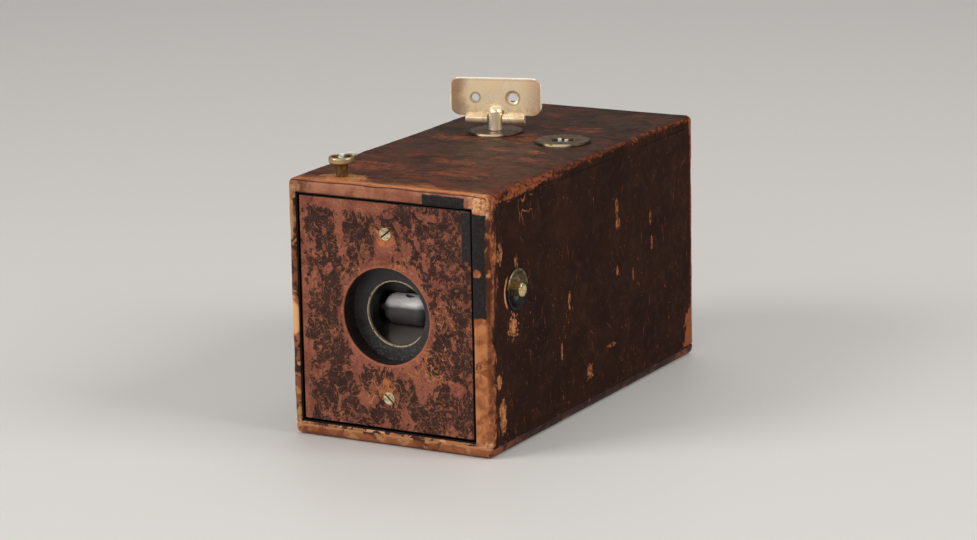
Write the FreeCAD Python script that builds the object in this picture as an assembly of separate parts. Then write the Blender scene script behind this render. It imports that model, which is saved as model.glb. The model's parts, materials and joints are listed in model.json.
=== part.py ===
"""Roll-film box camera with a string-set barrel shutter, 82.6 x 165.1 x 95.3 mm.

Millimetres, +Z up, origin at the centre of the bottom face, front towards -Y.
Places along the camera are given as depths behind the front plane and turned into Y by fy().
A leather-covered wooden case holds the shutter behind a screwed front board. The film carrier,
with its two spools, rollers and counter wheel, slides out of the back. The winding key, the
counter dial and the cord post stand on the top, and the release button is in the right side.
"""

import FreeCAD
import Part

import math
import os

V = FreeCAD.Vector
X_AXIS, Y_AXIS, Z_AXIS = V(1, 0, 0), V(0, 1, 0), V(0, 0, 1)

# --- driving dimensions of the case -----------------------------------------------------------
BODY_WIDTH = 82.55
BODY_HEIGHT = 95.25
BODY_LENGTH = 165.1
LEATHER = 0.8
EDGE_RADIUS = 2.4
WALL_LEFT = 3.9
WALL_RIGHT = 6.9          # thicker, because the release button's cup is let into it
WALL_TOP = 5.4
WALL_BOTTOM = 5.4
BOTTOM_COVER_RIM = 4.0    # the bottom leather turns up the sides to this height
PANEL_GAP = 0.5           # round the front and rear boards
PANEL_RECESS = 1.0        # of their leather behind the case's front and rear planes

INNER_LEFT = -BODY_WIDTH / 2 + WALL_LEFT
INNER_RIGHT = BODY_WIDTH / 2 - WALL_RIGHT
INNER_BOTTOM = WALL_BOTTOM
INNER_TOP = BODY_HEIGHT - WALL_TOP
TOP_BOARD_Z = BODY_HEIGHT - LEATHER   # upper face of the top board, under its leather

# --- lens axis and front board ----------------------------------------------------------------
AXIS_X = (INNER_LEFT + INNER_RIGHT) / 2
AXIS_Z = 45.8              # of the barrel, a little below the middle of the opening
OPENING_Z = 47.5
FRONT_BOARD_BACK = 8.5
OPENING_RADIUS = 18.0
OPENING_LEATHER_RADIUS = 18.4
FRONT_SCREW_SPACING = 60.4
SCREW_HEAD_RADIUS = 2.3
SCREW_SHANK_RADIUS = 1.2

# --- shutter ----------------------------------------------------------------------------------
SHUTTER_BOARD_BACK = 15.0
BLOCK_BACK = 29.0
BLOCK_HALF_WIDTH = 12.5
BLOCK_HALF_HEIGHT = 12.0
MOUTH_RADIUS = 11.9
MOUTH_Z = 46.9
MOUTH_LENGTH = 2.0
MOUTH_HALF_WIDTH = 11.2     # of the flared way behind the round mouth
BARREL_DEPTH = 20.5
BARREL_RADIUS = 5.75
BARREL_WALL = 0.7
BARREL_LEFT = -12.4       # its two ends
BARREL_RIGHT = 6.4
BARREL_END_RADIUS = 4.5
BARREL_CLEARANCE = 0.2
APERTURE_RADIUS = 2.8
AXLE_RADIUS = 1.5
SLEEVE_RADIUS = 2.5
SLEEVE_BORE = 1.9
ARM_RADIUS = 1.8
RUNNING = 0.06            # radial clearance of shafts in their bearings
PLATE = 1.2               # sheet brass of the bearing plates
AXLE_LEFT_END = -31.8

# --- cord and pulley --------------------------------------------------------------------------
CORD_X = -23.8
CORD_RADIUS = 0.5
CORD_PITCH_RADIUS = 10.5
CORD_DEPTH = BARREL_DEPTH - CORD_PITCH_RADIUS
PULLEY_RADIUS = 11.6
PULLEY_HALF_WIDTH = 1.7
POST_HEIGHT = 7.3
KNOT_RADIUS = 1.15

# --- release button ---------------------------------------------------------------------------
BUTTON_DEPTH = 20.3
BUTTON_Z = 57.8
BUTTON_RADIUS = 2.6
BUTTON_STAND = 3.0        # end of the pin outside the case
CUP_RADIUS = 7.5
CUP_DEPTH = 3.4
BUTTON_TRAVEL = 1.5
STEM_RADIUS = 1.3
WIRE_FLATS = 10           # the return spring's wire is drawn with this many flats
BORE_RADIUS = 3.6         # through the wall, for the cup's guide tube
ROCKER_X = 19.5
ROCKER_Z = 53.8           # 4 mm below the button, so 1.5 mm of travel turns it 25 degrees
ROCKER_PIN_RADIUS = 0.8
STOP_PIN_CIRCLE = 4.4

# --- film carrier -----------------------------------------------------------------------------
CARRIER_FRONT = 76.5
CARRIER_PLATE = 4.0
REAR_BOARD_FRONT = BODY_LENGTH - 7.7
REAR_BOARD_BACK = BODY_LENGTH - PANEL_RECESS - LEATHER
PANEL_LEFT = INNER_LEFT + PANEL_GAP
PANEL_RIGHT = INNER_RIGHT - PANEL_GAP
PANEL_BOTTOM = INNER_BOTTOM + PANEL_GAP
PANEL_TOP = INNER_TOP - PANEL_GAP
LOWER_PLATE_TOP = PANEL_BOTTOM + CARRIER_PLATE
UPPER_PLATE_BOTTOM = 80.4
UPPER_PLATE_TOP = UPPER_PLATE_BOTTOM + CARRIER_PLATE
FILM_BOTTOM, FILM_TOP = 10.2, 80.1   # 69.9 mm film
FILM_THICKNESS = 0.2
FILM_GAP = 0.05           # between the film and the rollers that it passes
IMAGE_RADIUS = 31.0
GUIDE_RADIUS = 2.75
GUIDE_DEPTH = 82.0
GUIDE_LEFT_X = -33.4
GUIDE_RIGHT_X = 30.4
MEASURE_RADIUS = 3.7      # three turns carry one exposure of 69.7 mm
COUNTER_MODULE = 0.4
PINION_TEETH, COUNTER_TEETH = 12, 36
COUNTER_X, COUNTER_DEPTH = 20.3, 96.5
MEASURE_X = COUNTER_X + COUNTER_MODULE * (PINION_TEETH + COUNTER_TEETH) / 2
MEASURE_DEPTH = COUNTER_DEPTH
KEY_X, KEY_DEPTH = -12.5, 104.0
TAKEUP_ROLL_RADIUS = 9.25
TAKEUP_CORE_RADIUS = 6.0
SUPPLY_X, SUPPLY_DEPTH = 6.0, 136.5
SUPPLY_ROLL_RADIUS = 17.5
SUPPLY_CORE_RADIUS = 7.5
GEAR_BOTTOM, GEAR_TOP = 85.0, 86.2

# --- winding key ------------------------------------------------------------------------------
KEY_TURN = 16.0           # degrees from X to the key's cross pin
KEY_STEM_RADIUS = 2.65
KEY_JOURNAL_RADIUS = 2.3
KEY_PIN_Z = BODY_HEIGHT + 5.2
KEY_STEM_TOP = BODY_HEIGHT + 9.9
KEY_PLATE_WIDTH = 35.6
KEY_PLATE_TOP = BODY_HEIGHT + 20.7
KEY_PLATE_THICKNESS = 0.9
KEY_KNUCKLE_RADIUS = 1.75
KEY_KNUCKLE_HALF_SPAN = 11.4
KEY_HOLE_SPACING = 14.6
ESCUTCHEON_RADIUS = 10.5
ESCUTCHEON_THICKNESS = 0.8
BUSH_RADIUS = 3.3
DIAL_RADIUS = 5.6
DIAL_WINDOW_RADIUS = 4.2


# --- helpers ----------------------------------------------------------------------------------
def fy(depth):
    """Y of a place that lies this far behind the front plane."""
    return depth - BODY_LENGTH / 2


def block(x0, x1, depth0, depth1, z0, z1):
    return Part.makeBox(x1 - x0, depth1 - depth0, z1 - z0, V(x0, fy(depth0), z0))


def rod(start, end, radius):
    """Round rod between two points, which differ along one axis."""
    way = end - start
    return Part.makeCylinder(radius, way.Length, start, way)


def rod_x(x0, x1, depth, z, radius):
    return rod(V(x0, fy(depth), z), V(x1, fy(depth), z), radius)


def rod_y(x, depth0, depth1, z, radius):
    return rod(V(x, fy(depth0), z), V(x, fy(depth1), z), radius)


def rod_z(x, depth, z0, z1, radius):
    return rod(V(x, fy(depth), z0), V(x, fy(depth), z1), radius)


def tube_x(x0, x1, depth, z, outer, inner):
    return rod_x(x0, x1, depth, z, outer).cut(rod_x(x0, x1, depth, z, inner))


def turned(profile, origin, axis):
    """Solid turned about an axis: profile is (radius, distance along the axis) in order."""
    side = Y_AXIS if axis == X_AXIS else X_AXIS
    points = [origin + side * r + axis * along for r, along in profile]
    face = Part.Face(Part.makePolygon(points + [points[0]]))
    return face.revolve(origin, axis, 360)


def extruded(outline, way):
    """Prism on a closed outline, which is a list of edges in order."""
    return Part.Face(Part.Wire(outline)).extrude(way)


def polygon_prism(points, way):
    return Part.Face(Part.makePolygon(points + [points[0]])).extrude(way)


def arc(p, q, r):
    return Part.Arc(p, q, r).toShape()


def line(p, q):
    return Part.LineSegment(p, q).toShape()


def joined(*solids):
    shape = solids[0].multiFuse(list(solids[1:])) if len(solids) > 1 else solids[0]
    return shape.removeSplitter()


def rounded_body(inset):
    """The case's outer block, moved in by inset on every side, with its rounded edges."""
    solid = Part.makeBox(
        BODY_WIDTH - 2 * inset, BODY_LENGTH - 2 * inset, BODY_HEIGHT - 2 * inset,
        V(-BODY_WIDTH / 2 + inset, fy(inset), inset))
    return solid.makeFillet(EDGE_RADIUS - inset, solid.Edges)


def tunnel():
    """The straight hollow through the case, open at both ends."""
    return block(INNER_LEFT, INNER_RIGHT, -1, BODY_LENGTH + 1, INNER_BOTTOM, INNER_TOP)


def slotted_screw(x, depth, z, length, slot_angle, head=SCREW_HEAD_RADIUS, shank=SCREW_SHANK_RADIUS):
    """Countersunk screw driven in along +Y. Returns the screw and the solid that its hole takes."""
    head_depth = head - shank
    profile = [(0, 0), (head, 0), (head, 0.25), (shank, 0.25 + head_depth), (shank, length), (0, length)]
    body = turned(profile, V(x, fy(depth), z), Y_AXIS)
    slot = Part.makeBox(3 * head, 0.6, 0.55, V(x - 1.5 * head, fy(depth) - 0.1, z - 0.275))
    slot.rotate(V(x, fy(depth), z), Y_AXIS, slot_angle)
    return body.cut(slot), body


def gear(teeth, module, addendum, dedendum, backlash, centre, phase, thickness, bore):
    """Involute spur gear, 20 degrees, in the XY plane, with a tooth centred at angle phase."""
    pitch = module * teeth / 2
    base = pitch * math.cos(math.radians(20))
    tip, root = pitch + addendum, pitch - dedendum
    start = max(root, base)
    inv20 = math.tan(math.radians(20)) - math.radians(20)

    def half_angle(radius):
        pressure = math.acos(min(1, base / radius))
        inv = math.tan(pressure) - pressure
        return math.pi / (2 * teeth) - backlash / (2 * pitch) + inv20 - inv

    def at(radius, angle):
        return centre + V(radius * math.cos(angle), radius * math.sin(angle), 0)

    edges, middle, step = [], (start + tip) / 2, 2 * math.pi / teeth
    foot = half_angle(start)
    for k in range(teeth):
        a = phase + k * step
        edges.append(line(at(root, a - foot), at(start, a - foot)))
        edges.append(arc(at(start, a - foot), at(middle, a - half_angle(middle)), at(tip, a - half_angle(tip))))
        edges.append(arc(at(tip, a - half_angle(tip)), at(tip, a), at(tip, a + half_angle(tip))))
        edges.append(arc(at(tip, a + half_angle(tip)), at(middle, a + half_angle(middle)), at(start, a + foot)))
        edges.append(line(at(start, a + foot), at(root, a + foot)))
        edges.append(arc(at(root, a + foot), at(root, a + step / 2), at(root, a + step - foot)))
    edges = [e for e in edges if e.Length > 1e-6]
    blank = extruded(edges, Z_AXIS * thickness)
    return blank.cut(Part.makeCylinder(bore, thickness, centre))


def ratchet(teeth, tip, root, centre, axis, side, thickness, bore):
    """Saw-toothed wheel about axis. side is the direction, square to the axis, of its first tooth."""
    across = axis.cross(side)

    def at(radius, angle):
        return centre + side * (radius * math.cos(angle)) + across * (radius * math.sin(angle))

    step = 2 * math.pi / teeth
    points = []
    for k in range(teeth):
        points += [at(tip, k * step), at(root, k * step + 0.12 * step)]
    wheel = polygon_prism(points, axis * thickness)
    return wheel.cut(Part.makeCylinder(bore, thickness, centre, axis))


def spiral(x0, x1, depth, z, inner, pitch, half_turns, strip):
    """Flat coil spring in the YZ plane, of half circles whose radius grows by half a pitch each."""
    centre = V(x0, fy(depth), z)
    half = pitch / 2

    def half_circle(k, extra):
        hub = centre + Y_AXIS * (half / 2 if k % 2 else -half / 2)
        r = inner + k * half + extra
        way = -1 if k % 2 else 1
        return hub + Y_AXIS * (way * r), hub + Z_AXIS * (way * r), hub - Y_AXIS * (way * r)

    edges = [arc(*half_circle(k, 0)) for k in range(half_turns)]
    far_in, far_out = half_circle(half_turns - 1, 0)[2], half_circle(half_turns - 1, strip)[2]
    edges.append(line(far_in, far_out))
    edges += [arc(*reversed(half_circle(k, strip))) for k in reversed(range(half_turns))]
    edges.append(line(half_circle(0, strip)[0], half_circle(0, 0)[0]))
    return extruded(edges, X_AXIS * (x1 - x0))


# --- case -------------------------------------------------------------------------------------
def top_cuts():
    """Holes through the top board for the key's bush, the counter dial's shaft and the cord post."""
    return [
        rod_z(KEY_X, KEY_DEPTH, INNER_TOP - 1, BODY_HEIGHT + 1, BUSH_RADIUS),
        rod_z(COUNTER_X, COUNTER_DEPTH, INNER_TOP - 1, BODY_HEIGHT + 1, AXLE_RADIUS + RUNNING),
        rod_z(CORD_X, CORD_DEPTH, INNER_TOP - 1, BODY_HEIGHT + 1, 2.0),
    ]


def cup_cut():
    """Seat of the release button's cup in the right side."""
    rim, floor = CUP_RADIUS - 0.4, -CUP_DEPTH - 0.4
    profile = [(0, 1), (rim, 1), (rim, 0), (BORE_RADIUS, floor), (BORE_RADIUS, -9), (0, -9)]
    return turned(profile, V(BODY_WIDTH / 2, fy(BUTTON_DEPTH), BUTTON_Z), X_AXIS)


def case_boards():
    timber = rounded_body(LEATHER).cut(tunnel())
    for hole in top_cuts() + [cup_cut()]:
        timber = timber.cut(hole)
    wide, long_ = BODY_WIDTH, BODY_LENGTH + 2
    slab = {
        "case_bottom_board": block(-wide, wide, -1, long_, -1, INNER_BOTTOM),
        "case_top_board": block(-wide, wide, -1, long_, INNER_TOP, BODY_HEIGHT + 1),
        "case_left_board": block(-wide, 0, -1, long_, INNER_BOTTOM, INNER_TOP),
        "case_right_board": block(0, wide, -1, long_, INNER_BOTTOM, INNER_TOP),
    }
    return {name: timber.common(part) for name, part in slab.items()}


def leather_covers():
    skin = rounded_body(0).cut(rounded_body(LEATHER)).cut(tunnel())
    for hole in top_cuts() + [cup_cut()]:
        skin = skin.cut(hole)
    # the counter dial lies in a round hole in the leather, under its escutcheon
    skin = skin.cut(rod_z(COUNTER_X, COUNTER_DEPTH, TOP_BOARD_Z - 0.01, BODY_HEIGHT + 1, DIAL_RADIUS + 0.4))
    wide, long_ = BODY_WIDTH, BODY_LENGTH + 2
    low = block(-wide, wide, -1, long_, -1, BOTTOM_COVER_RIM)
    return {"leather_bottom_cover": skin.common(low), "leather_upper_cover": skin.cut(low)}


def front_panel():
    leather = block(PANEL_LEFT, PANEL_RIGHT, PANEL_RECESS, PANEL_RECESS + LEATHER, PANEL_BOTTOM, PANEL_TOP)
    leather = leather.cut(rod_y(AXIS_X, 0, 9, OPENING_Z, OPENING_LEATHER_RADIUS))
    wood = block(
        PANEL_LEFT, PANEL_RIGHT, PANEL_RECESS + LEATHER, FRONT_BOARD_BACK, PANEL_BOTTOM, PANEL_TOP)
    wood = wood.cut(rod_y(AXIS_X, 0, 9, OPENING_Z, OPENING_RADIUS))
    screws, holes = [], []
    for side, angle in ((1, -38), (-1, 40)):
        z = (PANEL_BOTTOM + PANEL_TOP) / 2 + side * FRONT_SCREW_SPACING / 2
        screw, hole = slotted_screw(AXIS_X + 0.5, PANEL_RECESS - 0.2, z, 12.0, angle)
        screws.append(screw)
        holes.append(hole)
    for hole in holes:
        leather = leather.cut(hole)
        wood = wood.cut(hole)
    return {"front_leather": leather, "front_board": wood, "front_screws": Part.Compound(screws)}, holes


# --- shutter ----------------------------------------------------------------------------------
def mouth():
    """Round mouth in the board and the flared way behind it, in which the whole barrel shows."""
    start, end = FRONT_BOARD_BACK - 0.001, FRONT_BOARD_BACK + MOUTH_LENGTH
    entry = rod_y(AXIS_X, start, end, MOUTH_Z, MOUTH_RADIUS)
    bore = BARREL_RADIUS + BARREL_CLEARANCE
    outline = [
        (end - 0.1, MOUTH_Z - MOUTH_RADIUS), (BARREL_DEPTH, AXIS_Z - bore),
        (BARREL_DEPTH, AXIS_Z + bore), (end - 0.1, MOUTH_Z + MOUTH_RADIUS)]
    corners = [V(AXIS_X - MOUTH_HALF_WIDTH, fy(depth), z) for depth, z in outline]
    return joined(entry, polygon_prism(corners, X_AXIS * 2 * MOUTH_HALF_WIDTH))


def shutter_frame(screw_holes):
    left, right = AXIS_X - BLOCK_HALF_WIDTH, AXIS_X + BLOCK_HALF_WIDTH
    board = block(
        INNER_LEFT, INNER_RIGHT, FRONT_BOARD_BACK, SHUTTER_BOARD_BACK, INNER_BOTTOM, INNER_TOP)
    reach = PULLEY_RADIUS + 0.6
    pulley_window = block(-26.4, -21.0, 8, 16, AXIS_Z - reach, AXIS_Z + reach)
    drum_pocket = block(-21.8, -16.0, 12.5, 16, AXIS_Z - 8.2, AXIS_Z + 8.2)
    cord_slot = block(CORD_X - 0.9, CORD_X + 0.9, 8, 16, AXIS_Z, INNER_TOP + 1)
    for cut in [pulley_window, drum_pocket, cord_slot, mouth()] + screw_holes:
        board = board.cut(cut)
    body = block(left, right, SHUTTER_BOARD_BACK, BLOCK_BACK,
                 AXIS_Z - BLOCK_HALF_HEIGHT, AXIS_Z + BLOCK_HALF_HEIGHT)
    back = BLOCK_BACK + 0.001
    rear_way = turned(
        [(0, BARREL_DEPTH), (5.0, BARREL_DEPTH), (7.0, back), (0, back)],
        V(AXIS_X, fy(0), AXIS_Z), Y_AXIS)
    bore = rod_x(left - 1, right + 1, BARREL_DEPTH, AXIS_Z, BARREL_RADIUS + BARREL_CLEARANCE)
    body = body.cut(mouth()).cut(rear_way).cut(bore)
    return {"shutter_board": board, "shutter_block": body}


def capsule(inset):
    """Drum on the shutter's axis with rounded rims, set in from the barrel's outer faces."""
    solid = rod_x(BARREL_LEFT + inset, BARREL_RIGHT - inset, BARREL_DEPTH, AXIS_Z, BARREL_RADIUS - inset)
    rims = [e for e in solid.Edges if isinstance(e.Curve, Part.Circle)]
    return solid.makeFillet(BARREL_END_RADIUS - inset, rims)


def barrel():
    """The barrel that turns round the lens. Its two openings face up and down at rest."""
    shell = capsule(0).cut(capsule(BARREL_WALL))
    shell = shell.cut(rod_z(AXIS_X, BARREL_DEPTH, AXIS_Z - 8, AXIS_Z + 8, APERTURE_RADIUS))
    shell = shell.cut(rod_x(AXLE_LEFT_END, BARREL_LEFT + 1, BARREL_DEPTH, AXIS_Z, AXLE_RADIUS))
    shell = shell.cut(rod_x(BARREL_RIGHT - 1, BARREL_RIGHT + 1, BARREL_DEPTH, AXIS_Z, SLEEVE_BORE))
    sleeve = tube_x(BARREL_RIGHT - BARREL_WALL, 16.0, BARREL_DEPTH, AXIS_Z, SLEEVE_RADIUS, SLEEVE_BORE)
    axle = rod_x(AXLE_LEFT_END, BARREL_LEFT + BARREL_WALL, BARREL_DEPTH, AXIS_Z, AXLE_RADIUS)
    collar = rod_x(AXLE_LEFT_END, AXLE_LEFT_END + 1.4, BARREL_DEPTH, AXIS_Z, 2.8)
    wheel = tube_x(12.6, 14.1, BARREL_DEPTH, AXIS_Z, 5.4, SLEEVE_RADIUS)
    pins = []
    for turn in (22, 202):
        angle = math.radians(turn)
        depth = BARREL_DEPTH + STOP_PIN_CIRCLE * math.sin(angle)
        pins.append(rod_x(14.0, 15.25, depth, AXIS_Z + STOP_PIN_CIRCLE * math.cos(angle), 0.6))
    return {
        "shutter_barrel": joined(shell, sleeve),
        "barrel_axle": joined(axle, collar),
        "stop_wheel": joined(wheel, *pins),
    }


def lens():
    """Two glasses and a stop in a short tube, held still inside the barrel by an arm."""
    half, outer, inner, stop_radius = 3.4, 3.3, 2.85, 1.7
    near, far = BARREL_DEPTH - half, BARREL_DEPTH + half
    tube = rod_y(AXIS_X, near, far, AXIS_Z, outer).cut(rod_y(AXIS_X, near, far, AXIS_Z, inner))
    stop = rod_y(AXIS_X, BARREL_DEPTH - 0.2, BARREL_DEPTH + 0.2, AXIS_Z, inner)
    stop = stop.cut(rod_y(AXIS_X, BARREL_DEPTH - 1, BARREL_DEPTH + 1, AXIS_Z, stop_radius))
    arm = rod_x(AXIS_X, 21.5, BARREL_DEPTH, AXIS_Z, ARM_RADIUS)
    arm = arm.cut(rod_y(AXIS_X, near, far, AXIS_Z, outer))
    ball_radius = 8.0
    glasses = []
    for way in (-1, 1):
        flat, crown = BARREL_DEPTH + way * 1.2, BARREL_DEPTH + way * 2.8
        disc = rod_y(AXIS_X, min(flat, crown), max(flat, crown), AXIS_Z, inner)
        glasses.append(disc.common(Part.makeSphere(ball_radius, V(AXIS_X, fy(crown - way * ball_radius), AXIS_Z))))
    plate_x = AXIS_X + BLOCK_HALF_WIDTH + PLATE
    foot_z = AXIS_Z - 9.5
    foot = block(plate_x, 21.5, 17.5, 23.5, foot_z, foot_z + PLATE)
    upright = block(21.5 - PLATE, 21.5, 17.5, 23.5, foot_z, AXIS_Z + 2.8)
    bracket = joined(foot, upright).cut(rod_x(15, 22, BARREL_DEPTH, AXIS_Z, ARM_RADIUS))
    return {
        "lens_tube": joined(tube, stop),
        "lens_glasses": Part.Compound(glasses),
        "lens_arm": arm,
        "lens_arm_bracket": bracket,
    }


def bearing_plates():
    """Sheet brass plates that carry the barrel, the pulley, the rocker and the button's stem."""
    left, right = AXIS_X - BLOCK_HALF_WIDTH, AXIS_X + BLOCK_HALF_WIDTH
    near, far = 15.5, 28.5
    outside = right + PLATE
    plate = block(right, outside, near, far, AXIS_Z - 9.5, AXIS_Z + 12.0)
    ears = [block(outside - 0.1, ROCKER_X + 1.4, d, d + 1.0, ROCKER_Z - 1.2, ROCKER_Z + 1.2)
            for d in (BARREL_DEPTH - 3.4, BARREL_DEPTH + 2.4)]
    pivot = rod_y(ROCKER_X, BARREL_DEPTH - 3.8, BARREL_DEPTH + 3.8, ROCKER_Z, ROCKER_PIN_RADIUS)
    right_plate = joined(plate, *ears).cut(pivot)
    right_plate = right_plate.cut(rod_x(right - 1, 13, BARREL_DEPTH, AXIS_Z, SLEEVE_RADIUS + RUNNING))
    axle_hole = rod_x(-40, left, BARREL_DEPTH, AXIS_Z, AXLE_RADIUS + RUNNING)
    left_plate = block(left - PLATE, left, near, far, AXIS_Z - 9.5, AXIS_Z + 9.5).cut(axle_hole)
    board_back = SHUTTER_BOARD_BACK
    upright = block(-30.0, -30.0 + PLATE, board_back, 28.0, AXIS_Z - 8, AXIS_Z + 8).cut(axle_hole)
    foot = block(-35.0, -29.9, board_back, board_back + PLATE, AXIS_Z - 8, AXIS_Z + 8)
    guide = block(25.0, 25.0 + PLATE, board_back, 24.0, BUTTON_Z - 3, BUTTON_Z + 3)
    guide_foot = block(26.1, 31.5, board_back, board_back + PLATE, BUTTON_Z - 3, BUTTON_Z + 3)
    guide = joined(guide, guide_foot)
    guide = guide.cut(rod_x(20, 27, BUTTON_DEPTH, BUTTON_Z, STEM_RADIUS + RUNNING))
    front = board_back + PLATE
    screws = [rod_y(-32.4, front, front + 0.8, AXIS_Z + dz, 1.6) for dz in (-5, 5)]
    screws += [rod_y(29.0, front, front + 0.6, BUTTON_Z + dz, 1.0) for dz in (-1.7, 1.7)]
    screws += [rod_x(outside, outside + 0.8, 26.9, AXIS_Z + dz, 1.2) for dz in (-8, 10)]
    screws += [rod_x(left - PLATE - 0.6, left - PLATE, 26.9, AXIS_Z + dz, 0.9) for dz in (-8.2, 8.2)]
    bar = block(-21.8, left - PLATE, 17.0, 19.0, AXIS_Z + 8.5, AXIS_Z + 9.3)
    nose = block(-21.8, -21.1, 17.0, 19.0, AXIS_Z + 6.15, AXIS_Z + 9.0)
    return {
        "right_bearing_plate": right_plate,
        "left_bearing_plate": left_plate,
        "pulley_bracket": joined(upright, foot),
        "button_guide": guide,
        "holding_click": joined(bar, nose),
        "mechanism_screws": Part.Compound(screws + [pivot]),
    }


def spring_drum():
    """Cup with the mainspring and its ratchet wheel, which the pulley winds."""
    cup = rod_x(-21.0, -16.6, BARREL_DEPTH, AXIS_Z, 7.5)
    cup = cup.cut(rod_x(-20.4, -16.0, BARREL_DEPTH, AXIS_Z, 6.9))
    cup = cup.cut(rod_x(-22, -16, BARREL_DEPTH, AXIS_Z, AXLE_RADIUS + RUNNING))
    wheel = ratchet(
        12, 6.0, 5.1, V(-21.9, fy(BARREL_DEPTH), AXIS_Z), X_AXIS, -Y_AXIS, 0.9, AXLE_RADIUS + RUNNING)
    return {
        "spring_cup": cup,
        "ratchet_wheel": wheel,
        "mainspring": spiral(-20.1, -17.2, BARREL_DEPTH, AXIS_Z, 2.1, 0.75, 11, 0.3),
    }


def cord_pulley():
    """Grooved pulley with the wound part of the cord and the pawl that drives the ratchet wheel."""
    half = PULLEY_HALF_WIDTH
    centre = V(CORD_X, fy(BARREL_DEPTH), AXIS_Z)
    wheel = rod_x(CORD_X - half, CORD_X + half, BARREL_DEPTH, AXIS_Z, PULLEY_RADIUS)
    groove = tube_x(CORD_X - 0.65, CORD_X + 0.65, BARREL_DEPTH, AXIS_Z,
                    PULLEY_RADIUS + 1, CORD_PITCH_RADIUS - CORD_RADIUS)
    wheel = wheel.cut(groove).cut(rod_x(-40, 0, BARREL_DEPTH, AXIS_Z, AXLE_RADIUS + RUNNING))
    section = Part.Face(Part.Wire(Part.makeCircle(CORD_RADIUS, centre - Y_AXIS * CORD_PITCH_RADIUS, Z_AXIS)))
    winding = section.revolve(centre, X_AXIS, 262)
    pivot = rod_x(CORD_X + half - 0.1, -21.15, BARREL_DEPTH + 8.6, AXIS_Z + 3.6, 0.5)
    outline = [(7.6, 4.6), (9.6, 4.5), (9.4, 2.6), (6.3, 0.6), (5.75, 0.45), (5.7, 1.3)]
    pawl = polygon_prism(
        [V(-21.85, fy(BARREL_DEPTH) + dy, AXIS_Z + dz) for dy, dz in outline], X_AXIS * 0.7)
    return {
        "cord_pulley": joined(wheel, pivot),
        "cord_winding": winding,
        "drive_pawl": pawl.cut(pivot),
    }


def setting_cord():
    """Straight cord from the pulley up through the post, and the knot that rests in the post."""
    knot_z = BODY_HEIGHT + 7.09
    cord = rod_z(CORD_X, CORD_DEPTH, AXIS_Z, knot_z - 0.6, CORD_RADIUS)
    knot = Part.makeSphere(KNOT_RADIUS, V(CORD_X, fy(CORD_DEPTH), knot_z))
    points = [V(CORD_X, fy(CORD_DEPTH), knot_z)]
    for dx, dy, dz in ((3.0, 1.7, 1.1), (5.0, 2.9, 0.7)):
        points.append(V(CORD_X + dx, fy(CORD_DEPTH) + dy, knot_z + dz))
    tail = [rod(p, q, CORD_RADIUS) for p, q in zip(points, points[1:])]
    tail.append(Part.makeSphere(CORD_RADIUS, points[1]))
    return {"setting_cord": cord, "cord_end": joined(knot, *tail).cut(cord)}


# --- release ----------------------------------------------------------------------------------
def release():
    outside = BODY_WIDTH / 2
    seat = V(outside, fy(BUTTON_DEPTH), BUTTON_Z)
    guide_end = outside - 6.4
    rim, floor = CUP_RADIUS - 0.4, -CUP_DEPTH - 0.4
    bore = BUTTON_RADIUS + RUNNING
    cup = turned(
        [(bore, guide_end - outside), (BORE_RADIUS, guide_end - outside), (BORE_RADIUS, floor), (rim, 0),
         (CUP_RADIUS, 0), (CUP_RADIUS, 0.3), (CUP_RADIUS - 0.25, 0.5), (rim - 0.3, 0.4),
         (5.6, -1.5), (4.2, -2.6), (bore, -CUP_DEPTH + 0.4)], seat, X_AXIS)
    tip = outside + BUTTON_STAND
    end_x = ROCKER_X + 0.55
    collar = guide_end - 0.08
    profile = [
        (0, tip), (1.6, tip - 0.08), (BUTTON_RADIUS - 0.25, tip - 0.35), (BUTTON_RADIUS, tip - 0.8),
        (BUTTON_RADIUS, collar + 0.06), (3.2, collar), (3.2, collar - 0.8), (STEM_RADIUS, collar - 0.8),
        (STEM_RADIUS, end_x + 1.5), (0.5, end_x), (0, end_x)]
    button = turned([(r, x - outside) for r, x in profile], seat, X_AXIS)
    start, wire, coil, turns = 25.0 + PLATE + 0.3, 0.22, 2.3, 6
    length = collar - 0.8 - wire - 0.1 - start
    helix = Part.makeHelix(length / turns, length, coil)
    helix.Placement = FreeCAD.Placement(V(start, fy(BUTTON_DEPTH), BUTTON_Z), FreeCAD.Rotation(Z_AXIS, X_AXIS))
    first = helix.Edges[0]
    at = first.valueAt(first.FirstParameter)
    flats = Part.makeCircle(wire, at, first.tangentAt(first.FirstParameter)).discretize(WIRE_FLATS + 1)
    section = Part.makePolygon(flats)
    spring = Part.Wire(helix.Edges).makePipeShell([section], True, True)
    return {"release_cup": cup, "release_button": button, "release_spring": spring}


def rocker():
    """Lever that lets the stop wheel go when the button's stem pushes its upper arm."""
    low, high = ROCKER_Z - 4.5, ROCKER_Z + 5.0
    near, far = BARREL_DEPTH - 2.3, BARREL_DEPTH + 2.3
    bar = block(ROCKER_X - 0.5, ROCKER_X + 0.5, near, far, low, high)
    hub = rod_y(ROCKER_X, near, far, ROCKER_Z, 1.5)
    nose = block(15.35, ROCKER_X, BARREL_DEPTH + 0.6, BARREL_DEPTH + 2.2, low + 0.2, low + 1.2)
    lever = joined(bar, hub, nose)
    flat = block(ROCKER_X + 0.5, ROCKER_X + 3, near - 1, far + 1, ROCKER_Z + 2.6, high + 1)
    lever = lever.cut(flat)
    return {"release_rocker": lever.cut(
        rod_y(ROCKER_X, near - 1, far + 1, ROCKER_Z, ROCKER_PIN_RADIUS + RUNNING))}


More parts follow.
